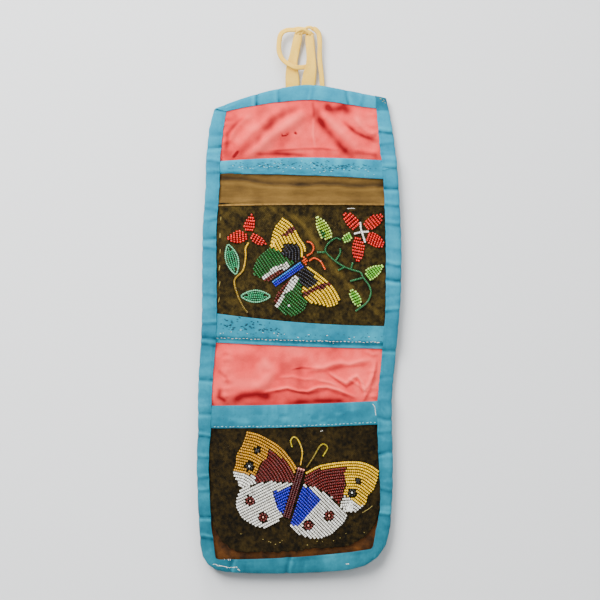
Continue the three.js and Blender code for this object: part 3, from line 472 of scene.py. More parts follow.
class Graph:
    """Adds and links the nodes of one tree."""

    def __init__(self, tree: bpy.types.NodeTree) -> None:
        """Keeps the tree and starts it empty."""
        self.tree = tree
        tree.nodes.clear()

    def add(self, kind: str, settings: dict[str, object] | None = None, **inputs: object) -> bpy.types.Node:
        """Adds a node.

        Args:
            kind: The node's type.
            settings: Properties of the node.
            inputs: Values or sockets for its inputs. i0 is the first input, and so on.

        Returns:
            The node.
        """
        node = self.tree.nodes.new(kind)
        for name, value in (settings or {}).items():
            setattr(node, name, value)
        for name, value in inputs.items():
            key = int(name[1:]) if name[0] == "i" and name[1:].isdigit() else name.replace("_", " ")
            self.feed(node.inputs[key], value)
        return node

    def feed(self, socket: Socket, value: object) -> None:
        """Links a socket to another, or sets its own value."""
        if isinstance(value, Socket):
            self.tree.links.new(value, socket)
        else:
            socket.default_value = value

    def math(self, operation: str, a: object, b: object = 0.0) -> Socket:
        """Adds a Math node and returns its result."""
        return self.add("ShaderNodeMath", {"operation": operation}, i0=a, i1=b).outputs[0]

    def held(self, operation: str, a: object, b: object) -> Socket:
        """Adds a Math node whose result is held between 0 and 1."""
        return self.add("ShaderNodeMath", {"operation": operation, "use_clamp": True}, i0=a, i1=b).outputs[0]

    def vector(self, operation: str, a: object, **inputs: object) -> Socket:
        """Adds a Vector Math node and returns its result."""
        return self.add("ShaderNodeVectorMath", {"operation": operation}, i0=a, **inputs).outputs[0]

    def mix(self, share: object, a: object, b: object, blend: str = "MIX") -> Socket:
        """Mixes a second colour into a first."""
        settings = {"data_type": "RGBA", "blend_type": blend}
        return self.add("ShaderNodeMix", settings, i0=share, i6=a, i7=b).outputs[2]

    def spread(self, value: object, low: float, high: float) -> Socket:
        """Spreads a value of 0 to 1 over a range."""
        return self.add("ShaderNodeMapRange", Value=value, To_Min=low, To_Max=high).outputs[0]

    def surface(self, **inputs: object) -> None:
        """Ends a material with its Principled BSDF."""
        shader = self.add("ShaderNodeBsdfPrincipled", **inputs)
        self.add("ShaderNodeOutputMaterial", Surface=shader.outputs[0])


def new_material(name: str) -> tuple[bpy.types.Material, Graph, Socket]:
    """Starts a material, and gives its graph and its Object coordinates."""
    material = bpy.data.materials.new(name)
    material.use_nodes = True
    graph = Graph(material.node_tree)
    return material, graph, graph.add("ShaderNodeTexCoord").outputs["Object"]


def group_tree(name: str, kind: str, inputs: Sequence[tuple[str, str, object]],
               outputs: Sequence[tuple[str, str]]) -> tuple[Graph, bpy.types.Node, bpy.types.Node]:
    """Makes a node group with named inputs and outputs.

    Args:
        name: Name of the group.
        kind: Type of its tree.
        inputs: Name, socket type and usual value of each input.
        outputs: Name and socket type of each output.

    Returns:
        The graph, its Group Input node and its Group Output node.
    """
    tree = bpy.data.node_groups.new(name, kind)
    for title, socket_type, value in inputs:
        socket = tree.interface.new_socket(title, in_out="INPUT", socket_type=socket_type)
        if value is not None:
            socket.default_value = value
    for title, socket_type in outputs:
        tree.interface.new_socket(title, in_out="OUTPUT", socket_type=socket_type)
    graph = Graph(tree)
    return graph, graph.add("NodeGroupInput"), graph.add("NodeGroupOutput")


def weave_group() -> bpy.types.NodeTree:
    """Crossing threads: over and under, with a little slub.

    Returns:
        A group that gives the threads' Height.
    """
    graph, given, result = group_tree(
        "woven threads", "ShaderNodeTree",
        [("Vector", "NodeSocketVector", None), ("Across", "NodeSocketFloat", 1800.0),
         ("Up", "NodeSocketFloat", 1800.0), ("Slub", "NodeSocketFloat", 0.4)],
        [("Height", "NodeSocketFloat")])
    wobble = graph.add("ShaderNodeTexNoise", Vector=given.outputs["Vector"], Scale=260.0, Detail=2.0)
    parts = graph.add("ShaderNodeSeparateXYZ", i0=given.outputs["Vector"])
    shift = graph.math("MULTIPLY", wobble.outputs[0], given.outputs["Slub"])
    waves = []
    for axis, way in ((0, "Across"), (2, "Up")):
        turn = graph.math("MULTIPLY", parts.outputs[axis], given.outputs[way])
        waves.append(graph.math("SINE", graph.math("ADD", turn, shift)))
    crossing = graph.math("MULTIPLY", graph.math("MULTIPLY", *waves), 0.5)
    graph.feed(result.inputs["Height"], graph.math("ADD", crossing, 0.5))
    return graph.tree


def wear_group() -> bpy.types.NodeTree:
    """Uneven fading: broad patches, and small ones within them.

    Returns:
        A group that gives a Patch mask and a Speck mask.
    """
    graph, given, result = group_tree(
        "uneven fading", "ShaderNodeTree",
        [("Vector", "NodeSocketVector", None), ("Patch Scale", "NodeSocketFloat", 60.0),
         ("Speck Scale", "NodeSocketFloat", 600.0), ("Contrast", "NodeSocketFloat", 1.5)],
        [("Patch", "NodeSocketFloat"), ("Speck", "NodeSocketFloat")])
    broad = graph.add("ShaderNodeTexNoise", Vector=given.outputs["Vector"],
                      Scale=given.outputs["Patch Scale"], Detail=4.0, Roughness=0.6)
    fine = graph.add("ShaderNodeTexNoise", Vector=given.outputs["Vector"],
                     Scale=given.outputs["Speck Scale"], Detail=3.0, Roughness=0.7)
    for noise, title in ((broad, "Patch"), (fine, "Speck")):
        centred = graph.math("SUBTRACT", noise.outputs[0], 0.5)
        swing = graph.math("MULTIPLY", centred, given.outputs["Contrast"])
        graph.feed(result.inputs[title], graph.held("ADD", swing, 0.5))
    return graph.tree


class Groups:
    """The shader groups that the materials share, each built once."""

    def __init__(self) -> None:
        """Builds the groups."""
        self.weave = weave_group()
        self.wear = wear_group()


@dataclass(frozen=True)
class ClothFinish:
    """A woven cloth."""

    name: str
    slot: str
    colour: Colour
    light: Colour
    deep: Colour
    low: Colour | None = None
    span: tuple[float, float] = (-0.34, -0.05)
    threads: tuple[float, float] = (9000.0, 9000.0)
    patch: float = 45.0
    speck: float = 900.0
    contrast: float = 1.3
    roughness: float = 0.85
    relief: float = 0.25
    sheen: float = 0.03
    rib: tuple[float, float] | None = None

    FADED, FLECKED, WOVEN = 0.55, 0.22, 0.16
    BUMP, SWING = 0.0004, 0.08

    def material(self, groups: Groups) -> bpy.types.Material:
        """Builds the material.

        Args:
            groups: The shared shader groups.

        Returns:
            The cloth's material.
        """
        material, graph, place = new_material(self.name)
        light, deep = linear(self.light), linear(self.deep)
        wear = graph.add("ShaderNodeGroup", {"node_tree": groups.wear}, Vector=place,
                         Patch_Scale=self.patch, Speck_Scale=self.speck, Contrast=self.contrast).outputs
        weave = graph.add("ShaderNodeGroup", {"node_tree": groups.weave}, Vector=place,
                          Across=self.threads[0], Up=self.threads[1], Slub=2.0).outputs["Height"]
        worn = self._mix(graph, wear["Patch"], self._base(graph, place), light, self.FADED)
        flecked = self._mix(graph, wear["Speck"], worn, deep, self.FLECKED)
        threads = self._mix(graph, weave, flecked, deep, self.WOVEN)
        # The "fold" attribute paints shade towards deep above 0 and highlight towards light below 0, besides
        # uneven tone.
        fold = graph.add("ShaderNodeAttribute", {"attribute_name": "fold"}).outputs["Fac"]
        shaded = self._mix(graph, graph.held("MAXIMUM", fold, 0.0), threads, deep, 1.0)
        colour = self._mix(graph, graph.held("MULTIPLY", fold, -1.0), shaded, light, 1.0)
        if self.rib:
            colour = self._ribs(graph, place, colour)
        specks = graph.math("MULTIPLY", wear["Speck"], 0.4)
        grain = graph.math("ADD", graph.math("MULTIPLY", weave, 0.6), specks)
        bump = graph.add("ShaderNodeBump", Strength=self.relief, Distance=self.BUMP, Height=grain)
        most = min(1.0, self.roughness + self.SWING)
        rough = graph.spread(wear["Speck"], self.roughness - self.SWING, most)
        graph.surface(Base_Color=colour, Roughness=rough, Normal=bump.outputs[0], Sheen_Weight=self.sheen,
                      Sheen_Roughness=0.6, Specular_IOR_Level=0.1)
        return material

    def _base(self, graph: Graph, place: Socket) -> object:
        """The colour that runs from the top of the pouch to its bottom."""
        if self.low is None:
            return linear(self.colour)
        height = graph.add("ShaderNodeSeparateXYZ", i0=place).outputs[2]
        share = graph.add("ShaderNodeMapRange", Value=height, From_Min=self.span[0],
                          From_Max=self.span[1]).outputs[0]
        return self._mix(graph, share, linear(self.low), linear(self.colour), 1.0)

    def _ribs(self, graph: Graph, place: Socket, colour: Socket) -> Socket:
        """Paints shade into the grooves between the cloth's ribs."""
        height = graph.add("ShaderNodeSeparateXYZ", i0=place).outputs[2]
        pitch, strength = self.rib
        wave = graph.math("SINE", graph.math("MULTIPLY", height, 2 * math.pi / pitch))
        return self._mix(graph, graph.held("MULTIPLY", wave, -1.0), colour, linear(self.deep), strength)

    @staticmethod
    def _mix(graph: Graph, share: Socket, a: object, b: object, most: float) -> Socket:
        """Mixes two colours, the second by share times most."""
        return graph.mix(graph.math("MULTIPLY", share, most), a, b)


@dataclass(frozen=True)
class BeadFinish:
    """Glossy glass, coloured bead by bead."""

    name: str
    roughness: float = 0.26
    coat: float = 0.22

    def material(self) -> bpy.types.Material:
        """Builds the material, which reads each bead's colour from "tint"."""
        material, graph, place = new_material(self.name)
        tint = graph.add("ShaderNodeAttribute", {"attribute_name": "tint"}).outputs["Color"]
        cloud = graph.add("ShaderNodeTexNoise", Vector=place, Scale=1400.0, Detail=2.0).outputs[0]
        colour = graph.mix(graph.math("MULTIPLY", cloud, 0.25), tint, (0.25, 0.2, 0.2, 1.0), "MULTIPLY")
        rough = graph.spread(cloud, self.roughness - 0.06, self.roughness + 0.12)
        graph.surface(Base_Color=colour, Roughness=rough, Specular_IOR_Level=0.42, Coat_Weight=self.coat,
                      Coat_Roughness=0.06)
        return material


class ClothKind(Enum):
    """The cloths of the pouch."""

    PINK = ClothFinish("faded pink cotton", "pink_cotton", (246, 46, 52), (255, 104, 94), (120, 4, 14),
                       patch=28.0, contrast=1.6)
    BINDING = ClothFinish("sky blue binding tape", "binding_tape", (10, 124, 156), (50, 176, 198),
                          (1, 34, 52), low=(1, 34, 50), patch=70.0, threads=(8000.0, 7000.0))
    RIBBED = ClothFinish("brown ribbed cloth", "ribbed_cloth", (90, 65, 24), (142, 108, 52), (26, 15, 4),
                         threads=(7000.0, 4000.0), patch=90.0, contrast=1.2, rib=(0.0008, 0.3))
    RUST = ClothFinish("rust ribbed cloth", "ribbed_cloth", (46, 27, 9), (116, 68, 24), (8, 4, 1),
                       threads=(7000.0, 4000.0), patch=160.0, contrast=3.4, rib=(0.0008, 0.5))
    VELVET = ClothFinish("worn velvet", "velvet", (19, 14, 3), (80, 64, 23), (3, 2, 0),
                         threads=(5200.0, 5600.0), patch=420.0, speck=1100.0,
                         contrast=3.0, roughness=0.95, relief=0.9, sheen=0.015)
    DARK_VELVET = ClothFinish("worn dark velvet", "velvet", (7, 5, 1), (60, 46, 15), (1, 1, 0),
                              threads=(5200.0, 5600.0), patch=420.0, speck=1100.0,
                              contrast=3.2, roughness=0.95, relief=0.9, sheen=0.01)
    HANGER = ClothFinish("cream cotton tape", "hanger_tape", (250, 196, 64), (255, 222, 108),
                         (140, 96, 28), threads=(6500.0, 9000.0), patch=110.0, contrast=1.2)


class ThreadTint(Enum):
    """Colours of the sewing threads."""

    WHITE = (240, 240, 228)
    PALE_BLUE = (150, 214, 222)
    DARK = (6, 48, 66)
    OLD = (176, 156, 80)
    GOLD = (190, 170, 60)


class Materials:
    """Every material of the pouch, built once."""

    def __init__(self) -> None:
        """Builds the shared groups and the materials."""
        groups = Groups()
        self.cloth = {kind: kind.value.material(groups) for kind in ClothKind}
        self.beads = BeadFinish("glass seed beads").material()
        self.thread = BeadFinish("cotton thread", roughness=0.7, coat=0.0).material()

    def dress(self, piece: Piece, kind: ClothKind, *nodes: str) -> None:
        """Finishes a piece in the material of a kind of cloth."""
        finish_piece(piece, self.cloth[kind], kind.value.slot, *nodes)


def tinted_points(name: str, places: Array, ways: Array, tints: Array) -> Piece:
    """Makes a mesh of bare points that a node tree threads beads or stitches on.

    Args:
        name: Name of the piece.
        places: Places in metres.
        ways: Direction of each bead's hole or of each stitch.
        tints: Linear colour of each.

    Returns:
        The new object.
    """
    mesh = bpy.data.meshes.new(name)
    mesh.from_pydata(places.tolist(), [], [])
    way = mesh.attributes.new("way", "FLOAT_VECTOR", "POINT")
    way.data.foreach_set("vector", np.asarray(ways, np.float32).ravel())
    tint = mesh.attributes.new("tint", "FLOAT_COLOR", "POINT")
    tint.data.foreach_set("color", np.asarray(tints, np.float32).ravel())
    piece = bpy.data.objects.new(name, mesh)
    bpy.context.scene.collection.objects.link(piece)
    return piece


def made_plain(piece: Piece, tree: bpy.types.NodeTree, values: dict[str, object]) -> None:
    """Runs a node tree on a piece and keeps the result as its plain mesh.

    Args:
        piece: The object that the tree starts from.
        tree: A geometry node group.
        values: Its inputs, by their names.
    """
    modifier = piece.modifiers.new("made", "NODES")
    modifier.node_group = tree
    for item in tree.interface.items_tree:
        if item.item_type == "SOCKET" and item.in_out == "INPUT" and item.name in values:
            modifier[item.identifier] = values[item.name]
    bpy.context.view_layer.update()
    result = bpy.data.meshes.new_from_object(piece.evaluated_get(bpy.context.evaluated_depsgraph_get()))
    result.name = piece.name
    piece.modifiers.clear()
    piece.data = result
    result.shade_smooth()


class ThreadedTree:
    """Geometry nodes that set small parts on points of a surface, turned along their way."""

    def __init__(self, name: str, part: Callable[[Graph, bpy.types.Node], Socket]) -> None:
        """Builds the tree.

        Args:
            name: Name of the tree.
            part: Adds the nodes of one bead or stitch, lying along +Z.
        """
        graph, given, result = group_tree(
            name, "GeometryNodeTree",
            [("Geometry", "NodeSocketGeometry", None), ("Ground", "NodeSocketObject", None),
             ("Width", "NodeSocketFloat", 0.0016), ("Length", "NodeSocketFloat", 0.00125),
             ("Sink", "NodeSocketFloat", 0.0008), ("Unevenness", "NodeSocketFloat", 0.08),
             ("Tilt", "NodeSocketFloat", 0.1), ("Seed", "NodeSocketInt", 1),
             ("Material", "NodeSocketMaterial", None)],
            [("Geometry", "NodeSocketGeometry")])
        sockets = given.outputs
        ground = graph.add("GeometryNodeObjectInfo", {"transform_space": "RELATIVE"},
                           Object=sockets["Ground"])
        ray = graph.add("GeometryNodeRaycast", Target_Geometry=ground.outputs["Geometry"],
                        Ray_Direction=(0.0, 1.0, 0.0), Ray_Length=1.0).outputs
        sink = graph.add("ShaderNodeCombineXYZ", Y=sockets["Sink"]).outputs[0]
        placed = graph.add("GeometryNodeSetPosition", Geometry=sockets["Geometry"],
                           Position=graph.vector("ADD", ray["Hit Position"], i1=sink)).outputs[0]
        way = graph.add("GeometryNodeInputNamedAttribute", {"data_type": "FLOAT_VECTOR"}, Name="way")
        turn = graph.add("FunctionNodeAlignRotationToVector", {"axis": "Z"}, Vector=way.outputs["Attribute"])
        wild = graph.add("FunctionNodeRandomValue", {"data_type": "FLOAT_VECTOR"}, i0=(-1.0, -1.0, -1.0),
                         i1=(1.0, 1.0, 1.0), Seed=sockets["Seed"]).outputs[0]
        tilt = graph.vector("SCALE", wild, Scale=sockets["Tilt"])
        tilted = graph.add("FunctionNodeRotateRotation", {"rotation_space": "LOCAL"},
                           Rotation=turn.outputs[0], Rotate_By=tilt).outputs[0]
        spread = graph.vector("SCALE", wild, Scale=sockets["Unevenness"])
        parts = graph.add("GeometryNodeInstanceOnPoints", Points=placed, Selection=ray["Is Hit"],
                          Instance=part(graph, given), Rotation=tilted,
                          Scale=graph.vector("ADD", spread, i1=(1.0, 1.0, 1.0)))
        real = graph.add("GeometryNodeRealizeInstances", Geometry=parts.outputs[0])
        dressed = graph.add("GeometryNodeSetMaterial", Geometry=real.outputs[0],
                            Material=sockets["Material"])
        graph.feed(result.inputs[0], dressed.outputs[0])
        self.tree = graph.tree

    def run(self, piece: Piece, ground: Piece, **values: object) -> None:
        """Threads the parts on a piece's points and keeps them as its mesh.

        Args:
            piece: Bare points with their way and tint.
            ground: The object that they lie on.
            values: The tree's other inputs.
        """
        hidden = ground.hide_viewport
        ground.hide_viewport = False
        made_plain(piece, self.tree, {"Ground": ground, **values})
        ground.hide_viewport = hidden


def bead_part(graph: Graph, given: bpy.types.Node) -> Socket:
    """A glass seed bead: a fat ring with its hole along +Z.

    Args:
        graph: The tree's graph.
        given: Its Group Input node.

    Returns:
        The bead's geometry.
    """
    width, length = given.outputs["Width"], given.outputs["Length"]
    ring = graph.add("GeometryNodeCurvePrimitiveCircle", Resolution=10,
                     Radius=graph.math("MULTIPLY", width, 0.325))
    profile = graph.add("GeometryNodeCurvePrimitiveCircle", Resolution=6, Radius=1.0)
    oval = graph.add("ShaderNodeCombineXYZ", X=graph.math("MULTIPLY", width, 0.175),
                     Y=graph.math("MULTIPLY", length, 0.5), Z=1.0)
    shaped = graph.add("GeometryNodeTransform", Geometry=profile.outputs[0], Scale=oval.outputs[0])
    return graph.add("GeometryNodeCurveToMesh", Curve=ring.outputs[0],
                     Profile_Curve=shaped.outputs[0]).outputs[0]


def stitch_part(graph: Graph, given: bpy.types.Node) -> Socket:
    """A stitch of thread: a thin rounded rod along +Z.

    Args:
        graph: The tree's graph.
        given: Its Group Input node.

    Returns:
        The stitch's geometry.
    """
    ball = graph.add("GeometryNodeMeshUVSphere", Segments=6, Rings=5, Radius=0.5)
    size = graph.add("ShaderNodeCombineXYZ", X=given.outputs["Width"], Y=given.outputs["Width"],
                     Z=given.outputs["Length"])
    return graph.add("GeometryNodeTransform", Geometry=ball.outputs[0],
                     Scale=size.outputs[0]).outputs[0]


class Pattern(Enum):
    """The two worked pockets: height of the velvet's top, and how far the drawing is stretched down it."""

    UPPER = (-109.7, 72.2 / 73.0, "upper_velvet")
    LOWER = (-245.9, 81.1 / 80.2, "lower_velvet")

    def place(self, point: Point) -> Array:
        """Puts a point of the drawing, measured from the middle of the velvet's top, on the frame."""
        return np.array([point[0], self.value[0] + point[1] * self.value[1]])

    def ground(self) -> Piece:
        """The velvet that the beads are sewn on."""
        return bpy.data.objects[self.value[2]]


@dataclass(frozen=True)
class Mark:
    """A bar or spot where the lanes change colour. Drawing millimetres."""

    colour: Colour
    start: Point
    end: Point | None = None
    reach: float = 1.3

    def covers(self, place: Array, pattern: Pattern) -> bool:
        """Whether a bead at this place belongs to the mark.

        Args:
            place: x and z of the bead.
            pattern: The pocket.

        Returns:
            True within reach of the mark's line.
        """
        a = pattern.place(self.start)
        run = pattern.place(self.end or self.start) - a
        length = float(run @ run)
        share = 0.0 if length == 0 else float(np.clip((place - a) @ run / length, 0, 1))
        return float(np.hypot(*(place - a - share * run))) <= self.reach


@dataclass(frozen=True)
class Ring:
    """A round spot: a circle of beads about a bead of another colour. Drawing millimetres."""

    colour: Colour
    middle: Colour
    at: Point
    radius: float = 2.1
    count: int = 8

    def beads(self, pattern: Pattern) -> list[tuple[Array, list[float], Colour]]:
        """The place, the way and the colour of each bead.

        Args:
            pattern: The pocket.

        Returns:
            The middle bead, then those round it.
        """
        centre = pattern.place(self.at)
        found = [(centre, [1.0, 0.0, 0.3], self.middle)]
        for i in range(self.count):
            turn = 2 * math.pi * (i + 0.3) / self.count
            out = np.array([math.cos(turn), math.sin(turn)])
            found.append((centre + out * self.radius, [-out[1], 0.0, out[0]], self.colour))
        return found


@dataclass(frozen=True)
class Lanes:
    """How the lanes of beads run: straight at an angle, or side by side with a guide line."""

    angle: float = 0.0
    pitch: float = 1.75
    guide: Sequence[Point] = ()
    through: Point | None = None

    def routes(self, outline: Array, pattern: Pattern) -> list[Array]:
        """Draws every lane that crosses an outline.

        Args:
            outline: Points round the field.
            pattern: The pocket that the field belongs to.

        Returns:
            Points close together along each lane.
        """
        if self.guide:
            return self.beside_guide(pattern)
        turn = math.radians(self.angle)
        way, side = np.array([math.cos(turn), math.sin(turn)]), np.array([-math.sin(turn), math.cos(turn)])
        along, across = outline @ way, outline @ side
        if self.through:
            start = float(pattern.place(self.through) @ side)
            first = math.floor((across.min() - start) / self.pitch)
            last = math.ceil((across.max() - start) / self.pitch)
            levels = [start + (i + 0.5) * self.pitch for i in range(first, last + 1)]
        else:
            count = max(1, round((across.max() - across.min()) / self.pitch))
            levels = across.min() + (np.arange(count) + 0.5) * (across.max() - across.min()) / count
        run = np.arange(along.min(), along.max(), 0.2)
        return [way * run[:, None] + side * level for level in levels]

    def beside_guide(self, pattern: Pattern) -> list[Array]:
        """Draws the lanes that lie below a curved guide line, each a pitch from the last.

        Args:
            pattern: The pocket that they belong to.

        Returns:
            Points close together along each lane.
        """
        points = np.array([pattern.place(point) for point in self.guide])
        line = smooth_route(points, 0.4)
        ways = np.gradient(line, axis=0)
        ways /= np.hypot(*ways.T)[:, None]
        down = np.column_stack([ways[:, 1], -ways[:, 0]])
        routes = []
        for i in range(60):
            lane = line + down * (i + 0.5) * self.pitch
            forward = (np.gradient(lane, axis=0) * ways).sum(1) > 0.02
            lane = lane[forward]
            if len(lane) > 3:
                routes.append(smooth_route(lane[::3], 0.2))
        return routes


@dataclass(frozen=True)
class BeadField:
    """One colour of a wing, petal or bud."""

    node: str
    slot: str
    colour: Colour
    lanes: Lanes
    marks: Sequence[Mark] = ()
    rings: Sequence[Ring] = ()
    edge_colour: Colour | None = None


@dataclass
class Sewn:
    """Beads that wait to be threaded: place, way and colour of each."""

    places: list[Array] = field(default_factory=list)
    ways: list[Sequence[float]] = field(default_factory=list)
    tints: list[Colour] = field(default_factory=list)

    def add(self, place: Array, way: Sequence[float], tint: Colour) -> None:
        """Adds one bead."""
        self.places.append(place)
        self.ways.append(way)
        self.tints.append(tint)

    def apart(self, place: Array, room: float) -> bool:
        """Whether no bead lies within room millimetres of a place."""
        return not self.places or float(np.min(np.hypot(*(np.array(self.places) - place).T))) > room


class Beadwork:
    """Threads beads on one pocket, and keeps them clear of each other."""

    STEP = 1.24
    LENGTH = 1.12
    SUNK = 0.44
    JITTER = (0.66, 1.12)
    ROOM_IN_LANES = 0.8
    ROOM_ACROSS = 1.18

    def __init__(self, materials: Materials, tree: ThreadedTree, pattern: Pattern) -> None:
        """Starts an empty pattern.

        Args:
            materials: The pouch's materials.
            tree: The node tree that makes beads.
            pattern: The pocket.
        """
        self.materials = materials
        self.tree = tree
        self.pattern = pattern
        self.taken: list[tuple[Lanes | None, Array]] = []
        self.random = np.random.default_rng(7)
        self.count = 0

    def thread(self, node: str, slot: str, sewn: Sewn, lanes: Lanes | None, width: float,
               length: float = LENGTH) -> None:
        """Makes the beads of one node.

        Args:
            node: The CAD node that they stand for.
            slot: Its material slot.
            sewn: The beads.
            lanes: The lanes that they lie in.
            width: Width of a bead across its hole.
            length: Length of a bead along its hole.
        """
        colours = []
        for tint in sewn.tints:
            jitter = self.random.uniform(*self.JITTER)
            colours.append([min(1.0, c * jitter) for c in linear(tint)[:3]] + [1.0])
        places = np.array(sewn.places)
        starts = np.column_stack([places[:, 0], np.full(len(places), IN_FRONT), places[:, 1]]) * MM
        piece = tinted_points("beads_" + node, starts, np.array(sewn.ways), np.array(colours))
        self.tree.run(piece, self.pattern.ground(), Width=width * MM, Length=length * MM,
                      Sink=-width * MM * self.SUNK, Unevenness=0.05, Tilt=0.06, Seed=len(self.taken) + 3,
                      Material=self.materials.beads)
        finish_piece(piece, self.materials.beads, slot, node)
        self.taken.append((lanes, places))
        self.count += len(places)

    def clear(self, place: Array, lanes: Lanes) -> bool:
        """Whether a bead fits beside the beads of the fields that are already sewn."""
        return all(np.min(np.hypot(*(done - place).T)) > (self.ROOM_IN_LANES if other == lanes
                                                          else self.ROOM_ACROSS)
                   for other, done in self.taken)

    def fill(self, bead_field: BeadField) -> None:
        """Fills a field with its lanes and rings.

        Args:
            bead_field: The field.
        """
        surface = CadSurface(bead_field.node, 60)
        outline = surface.points[:, [0, 2]]
        sewn = Sewn()
        for ring in bead_field.rings:
            for place, way, tint in ring.beads(self.pattern):
                sewn.add(place, way, tint)
        rings = [(self.pattern.place(ring.at), ring.radius + 1.2) for ring in bead_field.rings]
        for route in bead_field.lanes.routes(outline, self.pattern):
            for run in self.inside(surface, route):
                self.bead_run(bead_field, run, rings, sewn)
        self.thread(bead_field.node, bead_field.slot, sewn, bead_field.lanes,
                    width=min(1.5, bead_field.lanes.pitch * 0.77))

    @staticmethod
    def inside(surface: CadSurface, route: Array) -> list[Array]:
        """The stretches of a lane that lie on a field.

        Args:
            surface: The field's solid.
            route: Points close together along the lane.

        Returns:
            The points of each stretch.
        """
        low, high = surface.low[[0, 2]] - 0.5, surface.high[[0, 2]] + 0.5
        boxed = np.all((route >= low) & (route <= high), axis=1)
        around = ((0.0, 0.0), (0.5, 0.0), (-0.5, 0.0), (0.0, 0.5), (0.0, -0.5))
        hits = np.array([bool(near) and any(
            surface.tree.ray_cast(Vector((x + a, -200, z + b)), Vector((0, 1, 0)))[0] is not None
            for a, b in around) for near, (x, z) in zip(boxed, route)])
        edges = np.flatnonzero(np.diff(np.concatenate([[False], hits, [False]]).astype(int)))
        return [route[a:b] for a, b in zip(edges[::2], edges[1::2]) if b - a > 3]

    def bead_run(self, bead_field: BeadField, run: Array, rings: list[tuple[Array, float]],
                 sewn: Sewn) -> None:
        """Threads beads evenly from one end of a stretch to the other.

        Args:
            bead_field: The field.
            run: Points close together along the stretch.
            rings: Centre and room of each ring, which the lane leaves out.
            sewn: Takes the beads.
        """
        reach = reach_along(run)
        count = max(1, round(reach[-1] / self.STEP))
        marks = (np.arange(count) + 0.5) * reach[-1] / count
        ways = read_along(marks + 0.3, reach, run) - read_along(marks - 0.3, reach, run)
        for i, (place, way) in enumerate(zip(read_along(marks, reach, run), ways)):
            near_ring = any(np.hypot(*(place - centre)) < room for centre, room in rings)
            if near_ring or not self.clear(place, bead_field.lanes):
                continue
            edge = bead_field.edge_colour is not None and i in (0, count - 1)
            sewn.add(place, [way[0], 0.0, way[1]], self.colour_at(bead_field, place, edge))

    def colour_at(self, bead_field: BeadField, place: Array, edge: bool) -> Colour:
        """The colour of a field's bead at a place.

        Args:
            bead_field: The field.
            place: x and z of the bead.
            edge: Whether it ends its lane.

        Returns:
            Its colour, the last mark's that covers it.
        """
        colour = bead_field.edge_colour if edge else bead_field.colour
        for mark in bead_field.marks:
            if mark.covers(place, self.pattern):
                colour = mark.colour
        return colour

    def along(self, node: str, slot: str, colour: Colour, end: Colour, paths: Sequence[Sequence[Point]],
              step: float = 1.0, width: float = 1.15) -> None:
        """Threads beads along the paths of a stem, a twig or an antenna.

        Args:
            node: The CAD node.
            slot: Its material slot.
            colour: Colour of the first bead of each path.
            end: Colour of its last bead.
            paths: Points of the drawing.
            step: Distance from bead to bead.
            width: Width of a bead.
        """
        sewn = Sewn()
        for path in paths:
            route = smooth_route(np.array([self.pattern.place(point) for point in path]), step)
            tangents = np.gradient(route, axis=0)
            for i, (place, tangent) in enumerate(zip(route, tangents)):
                if sewn.apart(place, step * 0.7):
                    share = i / (len(route) - 1)
                    tint = tuple(a + (b - a) * share for a, b in zip(colour, end))
                    sewn.add(place, [tangent[0], 0.0, tangent[1]], tint)
        self.thread(node, slot, sewn, None, width, step * 0.98)

    def leaf(self, node: str, start: Point, end: Point, width: float, pale: Colour, deep: Colour) -> None:
        """Works a leaf in lanes that bow out from tip to tip.

        Args:
            node: The CAD node.
            start: One tip in the drawing.
            end: The other tip.
            width: Width of the leaf at its middle.
            pale: Colour of the outer lanes.
            deep: Colour of the inner lanes.
        """
        a, b = self.pattern.place(start), self.pattern.place(end)
        length = float(np.hypot(*(b - a)))
        unit = (b - a) / length
        side = np.array([-unit[1], unit[0]])
        sewn = Sewn()
        for lane in (-1.0, 1.0, -0.6, 0.6, -0.2, 0.2):
            trim = 0.01 + 0.05 * (1 - abs(lane))
            share = np.linspace(trim, 1 - trim, 80)
            half = np.sin(np.pi * share) ** 0.8 * (width / 2 - 0.5)
            line = a + unit * (share * length)[:, None] + side * (half * lane)[:, None]
            reach = reach_along(line)
            marks = np.linspace(0.4, reach[-1] - 0.4, max(2, int(reach[-1] / self.LENGTH)))
            beads = read_along(marks, reach, line)
            for place, tangent in zip(beads, np.gradient(beads, axis=0)):
                if sewn.apart(place, 0.98):
                    sewn.add(place, [tangent[0], 0.0, tangent[1]], pale if abs(lane) == 1.0 else deep)
        self.thread(node, "mint_beads", sewn, None, 1.0, 1.04)


def smooth_route(points: Array, step: float) -> Array:
    """Runs a smooth curve through points, in even steps.

    Args:
        points: The points that it passes through, one row each.
        step: Distance between the results.

    Returns:
        Places along the curve, one row each.
    """
    padded = np.vstack([2 * points[0] - points[1], points, 2 * points[-1] - points[-2]])
    fine = [points[0]]
    for i in range(len(points) - 1):
        p0, p1, p2, p3 = padded[i:i + 4]
        for t in np.linspace(0.05, 1.0, 20):
            fine.append(0.5 * (2 * p1 + (p2 - p0) * t + (2 * p0 - 5 * p1 + 4 * p2 - p3) * t ** 2
                               + (3 * p1 - p0 - 3 * p2 + p3) * t ** 3))
    curve = np.array(fine)
    reach = np.concatenate([[0.0], np.cumsum(np.linalg.norm(np.diff(curve, axis=0), axis=1))])
    marks = np.linspace(0.0, reach[-1], max(2, int(round(reach[-1] / step)) + 1))
    return read_along(marks, reach, curve)


